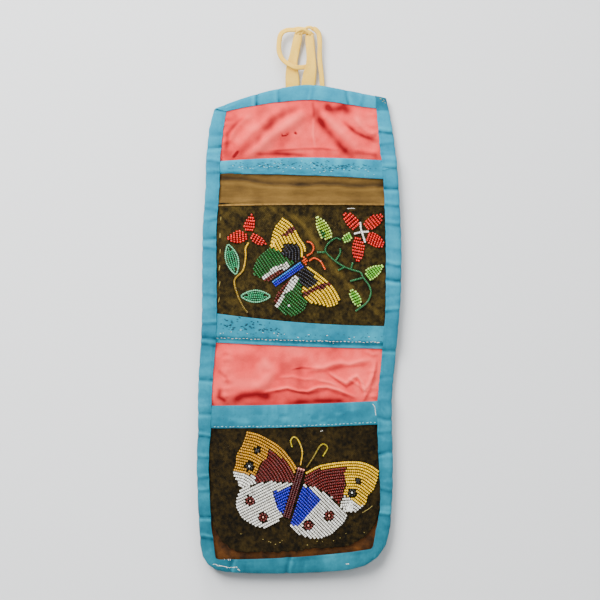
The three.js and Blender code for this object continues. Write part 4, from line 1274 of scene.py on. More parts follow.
@dataclass
class Backing:
    """The pink cotton of the back and of the two open windows."""

    materials: Materials
    column_step: float = 0.85
    window_step: float = 0.65
    hidden_step: float = 5.0
    windows: Sequence[tuple[float, float]] = ((-86.0, -42.0), (-240.0, -192.0))

    # Rows of both tables: width, rise, shade, then x and z of each point. A shade above 0 is painted shade
    # in a fold, below 0 a painted highlight on it.
    UPPER_CREASES = (
        (3.4, 0, 0.42, 5.1, -46.1, -4, -50.4, -13.6, -54.1, -18.9, -60.5, -27.4, -70.1, -36, -76.5, -40.8,
         -79.5),
        (4.2, 1.9, -0.3, 5.6, -48.3, -1.8, -55.2, -9.3, -60.5, -17.8, -65.9, -25.3, -73.3, -32.8, -78.7),
        (3.2, 1.5, -0.2, -9.3, -51.5, -16.8, -53.1, -24.2, -59.5, -32.8, -66.9, -40.2, -74.4),
        (2.2, 0.9, -0.15, -29.6, -53.1, -36, -57.3, -40.8, -63.7, -44.5, -71.2),
        (1.6, 0, 0.4, -32.8, -53.1, -40.2, -59.5, -44.5, -64.8, -45.6, -75.5),
        (0.9, 0, 0.2, 8.1, -44.5, 8.8, -49.9, 8.8, -56.1),
        (2.6, 0, 0.5, 9.9, -50.4, 14.2, -58.4, 19.5, -64.8, 25.9, -73.3, 31.8, -78.7),
        (3.6, 1.8, -0.3, 12, -50.9, 19.5, -57.3, 25.9, -63.7, 31.3, -68, 37.7, -76.5),
        (3, 0, 0.55, 14.2, -47.2, 20.6, -49.9, 27, -48.3, 31.8, -53.1),
        (1.9, 1, -0.2, 34.5, -54.1, 37.7, -59.5, 43, -63.7, 48.3, -65.9),
        (1.4, 0, 0.4, 27, -57.3, 34.5, -63.7, 40.9, -66.9, 48.3, -69.1),
        (1.6, 0.8, 0.3, 33.4, -75.5, 40.9, -76.5, 49.4, -78.7),
        (0.7, 0.25, 0.3, -20, -75.5, 3.5, -73.9, 13.1, -73.9, 23.8, -75),
        (0.7, 0.3, -0.25, 8.8, -54.1, 8.3, -64.8, 9.9, -73.3),
        (0.6, 0, 1, -41.1, -79.5, -38.1, -75.5),
        (0.6, -0.1, 1.3, -2.9, -64, -1.9, -64.8),
        (0.35, 0.1, 0.55, -11.4, -64.3, -10.6, -66.2, -8.6, -66, -6.6, -64.3),
        (1.3, 0, 0.45, -29.6, -77.4, -22.1, -77.4, -14.6, -77, 6, -78.2),
    )
    MIDDLE_CREASES = (
        (0.75, 0.9, -0.35, -21.4, -225.2, -14.5, -223.7, -7.6, -222.4, -0.6, -224.4, 5.3, -224.7, 11.2,
         -222.2, 17.1, -222, 24.1, -223.7, 30, -226.2, 34.9, -228.2),
        (1.1, 0, 0.3, -21.4, -226.4, -7.6, -223.8, 5.3, -226.1, 17.1, -223.4, 34.9, -229.6),
        (1.5, 1.1, -0.25, 6.3, -211.3, 15.2, -209.9, 21.1, -207.6, 26, -206.9, 31, -207.9, 37.9, -205.9,
         44.8, -204.9),
        (1.5, 0, 0.28, 6.3, -213, 15.2, -212, 26, -209.6, 37.9, -208.6, 44.8, -207.6),
        (1, 1.2, -0.3, 17.1, -212.1, 23.1, -216.3, 29, -219.7, 33, -216.1, 35.9, -215.1, 39.4, -219.7, 40.4,
         -223.7, 43.4, -219.3, 45.8, -212.3, 47.3, -205.9),
        (0.9, 0, 0.35, 18.6, -214.5, 29, -222, 36.4, -217.3, 39, -225),
        (0.9, 0.9, -0.2, 30, -216.3, 36.9, -220.7, 40.9, -224.7, 39.4, -230.1),
        (0.8, 0.6, -0.2, 11.2, -217.8, 19.1, -219.3, 23.6, -221.4),
        (1.1, 0.9, 0.25, 48.3, -205.4, 45.8, -215.3, 43.4, -223.2, 39.9, -230.6),
        (0.5, 0.3, 0.35, -4.6, -211.3, 1.3, -209.9, 7.3, -210.4, 14.2, -210.4),
        (0.9, 0.5, -0.15, -12.5, -216.3, -4.6, -215.3, 3.3, -217.3, 10.2, -216.8),
        (1.5, 0.7, 0.3, -51.1, -211.3, -46.1, -215.3, -44.7, -219.3),
        (1.7, 0.8, 0.45, -49.1, -222.2, -50.1, -228.2, -45.1, -231.1),
        (2.6, 0, 0.45, -42.2, -230.6, -35.3, -227.2, -26.4, -226.2, -16.4, -229.2),
        (1.8, 0, 0.35, -8.6, -232.1, 11.2, -230.6, 31, -230.6),
        (1.2, 0.7, -0.2, 40.9, -199, 45.8, -201.5, 50.3, -200.5),
        (3.5, 1.3, -0.15, -23.4, -204.4, -16.5, -212.3, -21.4, -219.3, -30.3, -224.2),
        (3, 0.7, 0, -46, -203, -30, -201, -10, -203.5),
    )

    def build(self) -> None:
        """Builds the lining and the cover behind it."""
        self.lining()
        self.cover()

    def shares(self, surface: CadSurface) -> Array:
        """Rows that lie close together in the windows and far apart where pockets hide the cloth.

        Args:
            surface: The lining's solid.

        Returns:
            Shares from its top to its bottom.
        """
        z, rows = surface.high[2], []
        while z > surface.low[2]:
            rows.append(z)
            open_here = any(low - 2 < z < high + 2 for low, high in self.windows)
            z -= self.window_step if open_here else self.hidden_step
        rows.append(surface.low[2])
        levels = np.array(rows)
        return (surface.high[2] - levels) / (surface.high[2] - surface.low[2])

    def lining(self) -> None:
        """Builds the crumpled lining."""
        surface = CadSurface("pink_lining")
        columns = np.linspace(0, 1, int((surface.high[0] - surface.low[0]) / self.column_step))
        x, z = surface.grid(self.shares(surface), columns)
        arch = 0.004 * x * x
        in_upper = between(z, -84.0, -79.0, -46.0 - arch, -43.0 - arch)
        in_middle = between(z, -235.0, -231.0, -199.0, -195.0)
        window = np.where(z > -140, in_upper, in_middle) * between(x, -49.5, -45.5, 45.5, 49.5)
        folds = FoldField.of(*self.UPPER_CREASES, *self.MIDDLE_CREASES)
        crumple = mottle(x, z, 9.0, 4) * 0.35 + mottle(x + 31, z, 3.4, 5) * 0.14 + 0.35
        beside_seam = bell(np.abs(x) - 47.0, 4.0)
        pucker = 0.45 * beside_seam * np.sin(z * 1.15 + mottle(x, z, 5, 8) * 2)
        rise = (1.25 * folds.rise(x, z) + crumple + np.maximum(pucker, -0.2)) * window
        # Painted shade in the folds' valleys and painted highlight on their ridges, then uneven mottled
        # tone.
        shade = 2.0 * folds.shade(x, z) + mottle(x, z, 11.0, 6) * 0.36
        shade += mottle(x, z, 3.6, 9) * 0.2
        piece = cloth_piece("lining_cloth", x, z, -2.5 - np.maximum(rise, 0.0), 0.4, shade)
        self.materials.dress(piece, ClothKind.PINK, "pink_lining")

    def cover(self) -> None:
        """Builds the plain cloth that closes the back."""
        surface = CadSurface("back_cover")
        x, z = surface.grid(np.linspace(0, 1, 150), np.linspace(0, 1, 70))
        ripple = mottle(x, z, 16.0, 12) * 0.09 + mottle(x, z, 6.0, 13) * 0.04
        inside = between(x, -50, -42, 42, 50) * (1 - smooth_rise(z, -62, -54))
        shade = mottle(x, z, 18.0, 14) * 0.15 + mottle(x, z, 5.0, 15) * 0.1
        piece = cloth_piece("back_cloth", x, z, np.full(x.shape, -1.8) + ripple * inside, 0.4, shade)
        self.materials.dress(piece, ClothKind.PINK, "back_cover")


@dataclass
class FoldedStrip:
    """A tape folded over an edge, puckered by its stitches."""

    node: str
    places: Sequence[Point] = ()
    pinch_gap: tuple[float, float] = (6.5, 13.0)
    ruffle: float = 0.0
    dark_start: float = 0.0
    dark_end: float = 0.0
    pinch_depth: float = 0.35
    bulge: float = 0.32
    thick: float = 0.5
    fold_run: float = 2.2
    seed: int = 3
    inner_run: float | None = None
    surface: CadSurface = field(init=False)

    def __post_init__(self) -> None:
        """Reads the strip's solid."""
        self.surface = CadSurface(self.node)

    def build(self, edge: Array, hem: Array, seam: float = 1.1) -> Piece:
        """Builds the strip between its fold and its hem.

        Args:
            edge: x and z of the fold at each station.
            hem: x and z of the front hem at the same stations.
            seam: How far inside the hem its stitches pull the tape down.

        Returns:
            The strip's object.
        """
        across = hem - edge
        width = np.hypot(across[:, 0], across[:, 1])
        unit = across / width[:, None]
        middle = (edge + hem) / 2
        along = reach_along(middle)
        shares = np.array([1.0, 0.965, 0.88, 0.74, 0.6, 0.46, 0.34])
        runs = width[:, None] * shares[None, :]
        runs = np.maximum(runs, np.minimum(self.fold_run, width[:, None] * 0.5))
        front = self.level(edge, unit, runs, True)
        inner = np.minimum(width, self.inner_run) if self.inner_run else width
        back_runs = np.maximum(inner[:, None] * np.array([0.3, 0.6, 0.96])[None, :], self.fold_run)
        back = self.level(edge, unit, back_runs, False)
        pinches = self.pinches(along, edge)
        pull, shade = self.puckers(along, shares, pinches, seam, width)
        front = front - pull
        near = bell(np.abs(along[:, None] - pinches[None, :]), 1.5).max(1)
        edge = edge + unit * np.minimum(near * self.pinch_depth * 0.5, 0.3)[:, None]
        at = partial(self.place, edge, unit)
        outer, inner_side, dark = [], [], []
        for j in range(len(shares)):
            outer.append(at(runs[:, j], front[:, j]))
            inner_side.append(at(runs[:, j] - (0.12 if j == 0 else 0), front[:, j] + self.thick))
            dark.append(shade[:, j])
        half, middle_level = (back[:, 0] - front[:, -1]) / 2, (back[:, 0] + front[:, -1]) / 2
        thin = np.maximum(0.2, 1 - self.thick / np.maximum(half, 0.6))
        for turn in np.radians(np.linspace(75, -75, 6)):
            run = np.minimum(self.fold_run, width * 0.5) * (1 - math.cos(turn))
            outer.append(at(run, middle_level - half * math.sin(turn)))
            inner_side.append(at(run + self.thick * math.cos(turn),
                                 middle_level - half * thin * math.sin(turn)))
            dark.append(shade[:, -1])
        # The leg behind the edge gets a little painted shade.
        for run, level in zip(back_runs.T, back.T):
            outer.append(at(run, level))
            inner_side.append(at(run, level - self.thick))
            dark.append(np.full(len(along), 0.15))
        hem_round = at(runs[:, 0] + 0.16, front[:, 0] + self.thick / 2)
        rings = [hem_round, *outer, *reversed(inner_side)]
        values = [dark[0], *dark, *reversed(dark)]
        return swept_piece("strip_" + self.node, np.stack(rings, 1), np.stack(values, 1))

    def level(self, edge: Array, unit: Array, runs: Array, front: bool) -> Array:
        """Reads the solid's depth at each run from the fold, evened out along the strip.

        Args:
            edge: x and z of the fold.
            unit: The way from fold to hem.
            runs: Distances from the fold.
            front: Whether its front is read, or else its back.

        Returns:
            y of each point.
        """
        inside = np.clip(runs, 0.3, None)
        x = edge[:, :1] + unit[:, :1] * (inside - 0.12)
        z = edge[:, 1:] + unit[:, 1:] * (inside - 0.12)
        return relaxed(self.surface.depth(x, z, front), 3)

    @staticmethod
    def place(edge: Array, unit: Array, run: Array, level: Array) -> Array:
        """Points at a run from the fold and at a depth."""
        x = edge[:, 0] + unit[:, 0] * run
        z = edge[:, 1] + unit[:, 1] * run
        return np.column_stack([x, level, z])

    def pinches(self, along: Array, edge: Array) -> Array:
        """Where along the strip its stitches pinch it.

        Args:
            along: Distance of each station along the strip.
            edge: x and z of the fold.

        Returns:
            Distance of each pinch.
        """
        if self.places:
            nearest = [np.argmin(np.hypot(*(edge - place).T)) for place in np.array(self.places)]
            return along[nearest]
        random = np.random.default_rng(self.seed)
        found = [along[0] + random.uniform(*self.pinch_gap)]
        while found[-1] < along[-1]:
            found.append(found[-1] + random.uniform(*self.pinch_gap))
        return np.array(found)

    def puckers(self, along: Array, shares: Array, pinches: Array, seam: float,
                width: Array) -> tuple[Array, Array]:
        """Swells the tape between its stitches and pinches it at them.

        Args:
            along: Distance of each station along the strip.
            shares: Places of the points from the fold to the hem.
            pinches: Distance of each pinch along the strip.
            seam: How far inside the hem the stitches lie.
            width: Width of the strip at each station.

        Returns:
            How far each point stands forward, and how dark it is.
        """
        random = np.random.default_rng(self.seed)
        slant = random.uniform(-2.6, 2.6, len(pinches))
        strength = random.uniform(0.12, 1.0, len(pinches)) ** 1.4
        lean = random.choice([-1.0, 1.0], len(pinches))
        pull = np.zeros((len(along), len(shares)))
        shade = np.zeros_like(pull)
        for j, share in enumerate(shares):
            gap = (along[:, None] - (pinches + slant * (share - 0.5))[None, :]) * lean[None, :]
            fade = 0.45 + 0.55 * np.abs(2 * share - 1 + 0.4 * slant / 2.6)
            narrow = (bell(gap, 0.85) * strength * fade).max(1)
            wide = (bell(gap, 2.6) * strength).max(1)
            ridge = (bell(gap - 2.0, 1.3) * strength).max(1)
            crown = math.sin(math.pi * min(1.0, max(0.0, 1 - share) + 0.12)) ** 0.7
            pull[:, j] = self.bulge * crown * (1 - wide + 0.5 * ridge)
            pull[:, j] -= self.pinch_depth * narrow * (0.5 + 0.5 * crown)
            # Painted shade in each pinch and around it, and a painted highlight on the ridge beside it.
            shade[:, j] = 0.85 * narrow + 0.2 * wide - 0.5 * ridge
        if self.dark_start:
            shade += 0.5 * (1 - smooth_rise(along, self.dark_start - 0.5, self.dark_start))[:, None]
        shade += 0.7 * self.dark_end * smooth_rise(along, along[-1] - 0.9, along[-1] - 0.2)[:, None]
        stitch = bell((1 - shares)[None, :] * width[:, None] - seam, 0.7)
        pull -= 0.15 * stitch
        pull[:, 0] = np.minimum(pull[:, 0], 0.05)
        run, rise = along[:, None] + 0 * pull, shares[None, :] * width[:, None]
        shade += (0.14 * mottle(run, rise, 13.0, self.seed)
                  + 0.1 * mottle(run, rise, 4.0, self.seed + 5))
        shade += 0.07 * mottle(run, rise, 1.1, self.seed + 6)
        creases = (mottle(run * 0.16, rise, 1.6, self.seed + 1)
                   + 0.5 * mottle(run * 0.4, rise, 1.3, 90))
        pull += self.ruffle * (creases + 0.3) * np.sin(np.pi * np.clip(shares, 0.03, 0.97))[None, :]
        shade += self.ruffle * 0.9 * mottle(run * 0.3, rise, 1.4, self.seed + 2)
        # A little painted shade where the stitches pull the tape in.
        return pull, shade + 0.1 * stitch


@dataclass
class Bindings:
    """Blue tape round the outside, over the mouths and along the seam."""

    materials: Materials
    step: float = 0.9

    CORNER_TURN = {1: 20.0, -1: 14.0}
    PUCKERS = tuple([(-62.0, z) for z in (
        -57.2, -64.5, -72.5, -81.7, -89.5, -97.4, -107.1, -112.0, -119.5, -130.3, -136.1, -146.9, -156.1,
        -165.5, -174.3, -183.0, -190.9, -196.0, -208.4, -217.1, -224.5, -231.7, -237.8, -248.9, -252.8,
        -266.3, -278.9, -286.8, -301.8, -315.3)] + [(62.0, z) for z in (
            -55.1, -63.4, -70.9, -77.5, -86.6, -99.1, -110.0, -122.0, -129.5, -137.0, -146.9, -156.1,
            -165.2, -175.2, -185.1, -199.3, -215.9, -221.0, -230.8, -241.0, -250.5, -262.0, -277.3,
            -286.8, -294.7, -301.9, -312.1)] + [(-43.0, -334.0), (-8.0, -337.0)])

    TOP_PUCKERS = ((-48.0, -44.0), (-27.0, -38.5), (-12.7, -36.0), (5.5, -34.5), (8.5, -34.5), (29.3, -38.0),
                   (39.6, -40.0))

    def build(self) -> None:
        """Builds every strip of tape."""
        self.sides()
        self.across("top_binding", 11, None, (9.0, 19.0), places=self.TOP_PUCKERS)
        self.across("upper_mouth_binding", 12, 9.0, (500.0, 600.0), ruffle=0.3)
        self.across("lower_mouth_binding", 13, 9.0, (500.0, 600.0), ruffle=0.22)
        self.seam_tape()

    def dress(self, piece: Piece, node: str, cut: tuple[float, float]) -> None:
        self.materials.dress(piece, ClothKind.BINDING, node)

    def sides(self) -> None:
        """Builds the strip that runs down the right side, along the bottom and up the left side."""
        strip = FoldedStrip("edge_binding", seed=21, places=self.PUCKERS, bulge=0.35, pinch_depth=0.5,
                            dark_start=9.0, dark_end=1.0)
        surface = strip.surface
        turn_in = self.CORNER_TURN
        foot = surface.low[2]
        inner = {}
        for side in (1, -1):
            z = foot + turn_in[side] + 10.0
            hem = min(np.abs(self.beside(surface, 2, z, side)))
            inner[side] = np.array([side * (hem - 2.5), z - 7.0])
        right = self.down_side(surface, 1, inner[1][1])
        left = self.down_side(surface, -1, inner[-1][1])
        corners = {side: self.round_corner(surface, inner[side], side) for side in (1, -1)}
        bottom = []
        for x in np.linspace(inner[1][0], inner[-1][0], 80)[1:-1]:
            z = surface.crossings(0, x)
            low = z[z < foot + 40]
            bottom.append((x, low.min(), x, low.max()))
        pairs = np.array([*right, *corners[1], *bottom, *reversed(corners[-1]), *reversed(left)])
        edge, hem = self.even(pairs[:, :2], pairs[:, 2:])
        piece = strip.build(edge, hem)
        length = float(np.hypot(*np.diff(edge, axis=0).T).sum())
        self.dress(piece, "edge_binding", (19.0, length))

    @staticmethod
    def beside(surface: CadSurface, along: int, level: float, side: int) -> Array:
        """The strip's crossings on one side of the pouch."""
        found = surface.crossings(along, level)
        return found[found * side > 0]

    def down_side(self, surface: CadSurface, side: int, low: float) -> list[tuple[float, ...]]:
        """Pairs of fold and hem down one side, as x and z of each.

        Args:
            surface: The strip's solid.
            side: 1 for the right side, -1 for the left.
            low: Height where the side ends.

        Returns:
            x and z of the fold, then of the hem.
        """
        near = surface.points[surface.points[:, 0] * side > 0]
        near = near[near[:, 2] > near[:, 2].max() - 4.0]
        outer, inner = near[np.argmax(near[:, 0] * side)], near[np.argmin(near[:, 0] * side)]
        pairs = [(outer[0], outer[2], inner[0], inner[2])]
        for z in np.arange(min(outer[2], inner[2]) - 0.6, low, -1.5):
            reach = np.abs(self.beside(surface, 2, z, side))
            pairs.append((side * reach.max(), z, side * reach.min(), z))
        return pairs

    @staticmethod
    def round_corner(surface: CadSurface, middle: Array, side: int) -> list[tuple[float, ...]]:
        """Pairs of fold and hem round a bottom corner, fanned out from a point inside it.

        Args:
            surface: The strip's solid.
            middle: The point that the fan starts from.
            side: 1 for the right corner, -1 for the left.

        Returns:
            x and z of the fold, then of the hem.
        """
        start, end = surface.sides[:, 0][:, [0, 2]] - middle, surface.sides[:, 1][:, [0, 2]] - middle
        pairs = []
        for turn in np.radians(np.arange(0.0, 90.1, 5.0)):
            way = np.array([side * math.cos(turn), -math.sin(turn)])
            across = np.array([-way[1], way[0]])
            a, b = start @ across, end @ across
            crossing = a * b <= 0
            share = a[crossing] / np.where(a == b, 1, a - b)[crossing]
            reach = (start[crossing] + share[:, None] * (end[crossing] - start[crossing])) @ way
            reach = reach[reach > 0.5]
            pairs.append((*(middle + way * reach.max()), *(middle + way * reach.min())))
        return pairs

    def even(self, edge: Array, hem: Array) -> tuple[Array, Array]:
        """Spaces the stations evenly along the strip.

        Args:
            edge: x and z of the fold.
            hem: x and z of the hem.

        Returns:
            Both, a step apart.
        """
        steps = np.maximum(np.hypot(*np.diff(edge, axis=0).T), np.hypot(*np.diff(hem, axis=0).T))
        along = np.concatenate([[0.0], np.cumsum(steps)])
        marks = np.linspace(0, along[-1], int(along[-1] / self.step))
        return read_along(marks, along, edge), read_along(marks, along, hem)

    def across(self, node: str, seed: int, inner_run: float | None, gaps: tuple[float, float],
               ruffle: float = 0.0, places: Sequence[Point] = ()) -> None:
        """Builds a strip that runs from side to side.

        Args:
            node: The strip's CAD node.
            seed: Which set of puckers it has.
            inner_run: Length of its leg behind, where that differs from the front one.
            gaps: Least and greatest distance between its puckers.
            ruffle: How strong the creases along it are.
            places: Where its puckers lie, if not by chance.
        """
        strip = FoldedStrip(node, seed=seed, inner_run=inner_run, pinch_gap=gaps, ruffle=ruffle,
                            places=places)
        surface = strip.surface
        lap = 1.0 if node == "top_binding" else -0.05
        x = np.linspace(surface.low[0] + 0.25, surface.high[0] + lap,
                        int((surface.high[0] - surface.low[0]) / self.step))
        top, bottom = surface.top(x), surface.bottom(x)
        wave = 0.12 * mottle(x, x * 0, 8.0, seed)
        bottom = np.minimum(bottom + wave, top - 0.8)
        piece = strip.build(np.column_stack([x, top]), np.column_stack([x, bottom]))
        height = float(np.mean(top - bottom))
        self.dress(piece, node, (height + (inner_run or height) + 1.0, float(x[-1] - x[0])))

    def seam_tape(self) -> None:
        """Builds the tape that closes the upper pocket's bottom."""
        surface = CadSurface("upper_seam_tape")
        rows, columns = np.linspace(0, 1, 26), np.linspace(0, 1, 120)
        x, z = surface.grid(rows, columns)
        front = relaxed(surface.depth(x, np.clip(z, surface.bottom(x) + 0.15, surface.top(x) - 0.15)), 2)
        free = between(x, -50.0, -47.0, 46.0, 49.0)
        down = np.broadcast_to(rows[:, None], x.shape)
        hills = mottle(x, z, 9.0, 31) * 0.22 + mottle(x, z, 3.5, 32) * 0.08 + 0.2
        stitch_line = bell(down - 0.8, 0.07)
        front -= free * (hills * (1 - 0.8 * stitch_line) * np.sin(np.pi * np.clip(down, 0.02, 0.98)) ** 0.5)
        # Painted shade along the stitch line, where the stitches pull the tape in, and a lighter line near
        # its lower edge.
        shade = 0.3 * stitch_line * (0.6 + mottle(x, z * 0, 3.0, 33))
        shade -= 0.25 * bell(down - 0.93, 0.05)
        shade += mottle(x, z, 8.0, 34) * 0.15 + mottle(x, z, 2.2, 35) * 0.1
        piece = cloth_piece("seam_tape", x, z, front, 0.4, shade)
        self.dress(piece, "upper_seam_tape", (15.5, surface.high[0] - surface.low[0]))


@dataclass
class PocketCloth:
    """Cloth behind the beads: velvet on top of ribbed cloth, with a pleated facing above."""

    materials: Materials

    CUT_FOOT = ((-56.0, -311.0), (-52.1, -314.0), (-48.2, -317.0), (-43.0, -321.5), (-38.7, -323.6),
                (-17.4, -324.0), (-4.7, -323.8), (14.3, -321.6), (30.1, -320.7), (37.2, -316.9),
                (45.9, -311.0), (52.0, -306.5))
    PLEAT = ((-53.0, -93.9), (-48.7, -94.1), (-35.6, -94.3), (-26.1, -96.1), (-14.2, -97.7),
             (1.6, -98.1), (17.4, -97.6), (33.2, -98.5), (44.0, -98.0), (54.0, -97.6))

    def build(self) -> None:
        """Builds the cloths of both pockets."""
        self.panel("upper_pocket_cloth", ClothKind.RIBBED, 41, 0.4)
        self.panel("lower_pocket_cloth", ClothKind.RUST, 42, 0.4)
        self.velvet("upper_pocket_velvet", 43, FoldField.of(
            (1.6, 0.25, -0.75, -15.2, -109.1, 0.3, -119.7, 18.9, -144.5, 32.5, -161.8, 54.9, -181.7),
            (1.0, 0.2, -0.6, -20.0, -109.0, -9.0, -118.0)))
        self.velvet("lower_pocket_velvet", 44, FoldField.of(
            (1.2, 0.2, -0.35, -50.0, -318.0, -44.0, -325.0, -38.0, -327.5),
            (1.1, 0.1, -0.25, -30.0, -326.0, 10.0, -324.5, 44.0, -319.0)), self.CUT_FOOT)
        self.facing()

    def read(self, node: str, step: float, passes: int,
             foot: Sequence[Point] = ()) -> tuple[CadSurface, Array, Array, Array]:
        """Reads a node's face as an even grid.

        Args:
            node: The CAD node.
            step: Distance between grid points.
            passes: How much the solid's facets are evened out.
            foot: A line that cuts its bottom off.

        Returns:
            The surface, and x, z and y of each grid point.
        """
        surface = CadSurface(node)
        rows = np.linspace(0, 1, int((surface.high[2] - surface.low[2]) / step))
        columns = np.linspace(0, 1, int((surface.high[0] - surface.low[0]) / step))
        x, z = surface.grid(rows, columns)
        if foot:
            line = np.array(foot)
            cut_off = np.interp(x, line[:, 0], line[:, 1]) + 0.8 * mottle(x, z * 0, 1.8, 77)
            top, bottom = surface.top(x), surface.bottom(x)
            z = top + (np.maximum(bottom, cut_off) - top) * (top - z) / (top - bottom)
        inner_x = np.clip(x, surface.left(z) + 0.1, surface.right(z) - 0.1)
        inner_z = np.clip(z, surface.bottom(x) + 0.1, surface.top(x) - 0.1)
        return surface, x, z, relaxed(surface.depth(inner_x, inner_z), passes)

    def panel(self, node: str, kind: ClothKind, seed: int, thick: float) -> None:
        """Builds the ribbed cloth that carries a pocket.

        Args:
            node: The CAD node.
            kind: Its cloth.
            seed: Which shading it has.
            thick: Its thickness.
        """
        surface, x, z, front = self.read(node, 1.3, 6)
        shade = mottle(x, z, 6.0, seed) * 0.3 + mottle(x, z, 2.0, seed + 20) * 0.2
        piece = cloth_piece(node.replace("pocket_", "") + "_sheet", x, z, front, thick, shade)
        self.materials.dress(piece, kind, node)
        surface.flat()

    def velvet(self, node: str, seed: int, worn: FoldField, foot: Sequence[Point] = ()) -> None:
        """Builds the velvet, napped and worn.

        Args:
            node: Its CAD node.
            seed: Which set of worn patches it has.
            worn: Creases along which it is painted lighter.
            foot: Where it was cut along its bottom, if higher than the solid's.
        """
        surface, x, z, front = self.read(node, 0.8, 10, foot)
        nap = mottle(x, z, 11.0, seed) * 0.1 + mottle(x, z, 2.4, seed + 1) * 0.05
        edge = np.minimum.reduce([x - surface.left(z), surface.right(z) - x, z - surface.bottom(x),
                                  surface.top(x) - z])
        soft = smooth_rise(edge, 0.0, 1.5)
        front = front - nap * soft + 0.3 * (1 - soft)
        patches = mottle(x, z, 8.5, seed + 2) * 0.5 + mottle(x, z, 3.2, seed + 3) * 0.5
        specks = mottle(x, z, 1.3, seed + 4) * 0.5 + mottle(x * 2.0, z, 1.7, seed + 5) * 0.4
        # Lines along the creases are painted lighter.
        shade = patches * 0.5 + specks * 0.55 + worn.shade(x, z)
        piece = cloth_piece(node.replace("pocket_", ""), x, z, front, 0.6, shade)
        kind = ClothKind.VELVET if node.startswith("upper") else ClothKind.DARK_VELVET
        self.materials.dress(piece, kind, node)
        surface.flat()

    def facing(self) -> None:
        """Builds the ribbed band above the upper velvet: its pleat with painted shadow and highlight, and
        its pale raw edge.
        """
        surface = CadSurface("upper_pocket_facing")
        rows = np.linspace(0, 1, 96)
        x, z = surface.grid(rows, np.linspace(0, 1, 130))
        inner_z = np.clip(z, surface.bottom(x) + 0.1, surface.top(x) - 0.1)
        front = relaxed(surface.depth(np.clip(x, surface.low[0] + 0.2, surface.high[0] - 0.2), inner_z), 4)
        bottom = surface.bottom(x)
        line = smooth_route(np.array(self.PLEAT), 0.5)
        gap = z - np.interp(x[0], line[:, 0], line[:, 1])[None, :] + 0.2 * mottle(x, z * 0, 6.0, 55)
        tuck = bell(gap, np.where(gap > 0, 0.9, 3.0))
        shadow = bell(gap - 0.9, np.where(gap > 0.9, 2.1, 1.4))
        ridge = bell(gap + 1.6, 1.3)
        free = between(x, -50.5, -47.5, 47.5, 50.5)
        ribs = 0.05 * np.sin(2 * np.pi * z / 0.8 + mottle(x, z, 12.0, 51) * 0.8)
        front -= free * (0.9 * tuck + ribs + 0.15 + 0.25 * mottle(x * 0.6, z, 4.0, 56))
        raw = smooth_rise(-(z - bottom), -1.5 + 0 * z, -0.6 + 0 * z)
        stripes = mottle(x * 0.3, z, 0.9, 52) * 0.1 + mottle(x, z, 9.0, 53) * 0.22
        # Painted shadow under the pleat and painted highlight on the ridge below it; the raw edge is pale.
        shade = 0.75 * shadow + stripes - 1.2 * raw * (0.6 + 0.6 * mottle(x, z, 0.8, 54)) - 0.45 * ridge
        # Painted shade under the mouth binding along the top.
        shade += 0.35 * smooth_rise(z, -94.5 + 0 * z, -90.0 + 0 * z)
        piece = cloth_piece("upper_facing", x, z, front, 0.35, shade)
        self.materials.dress(piece, ClothKind.RIBBED, "upper_pocket_facing")


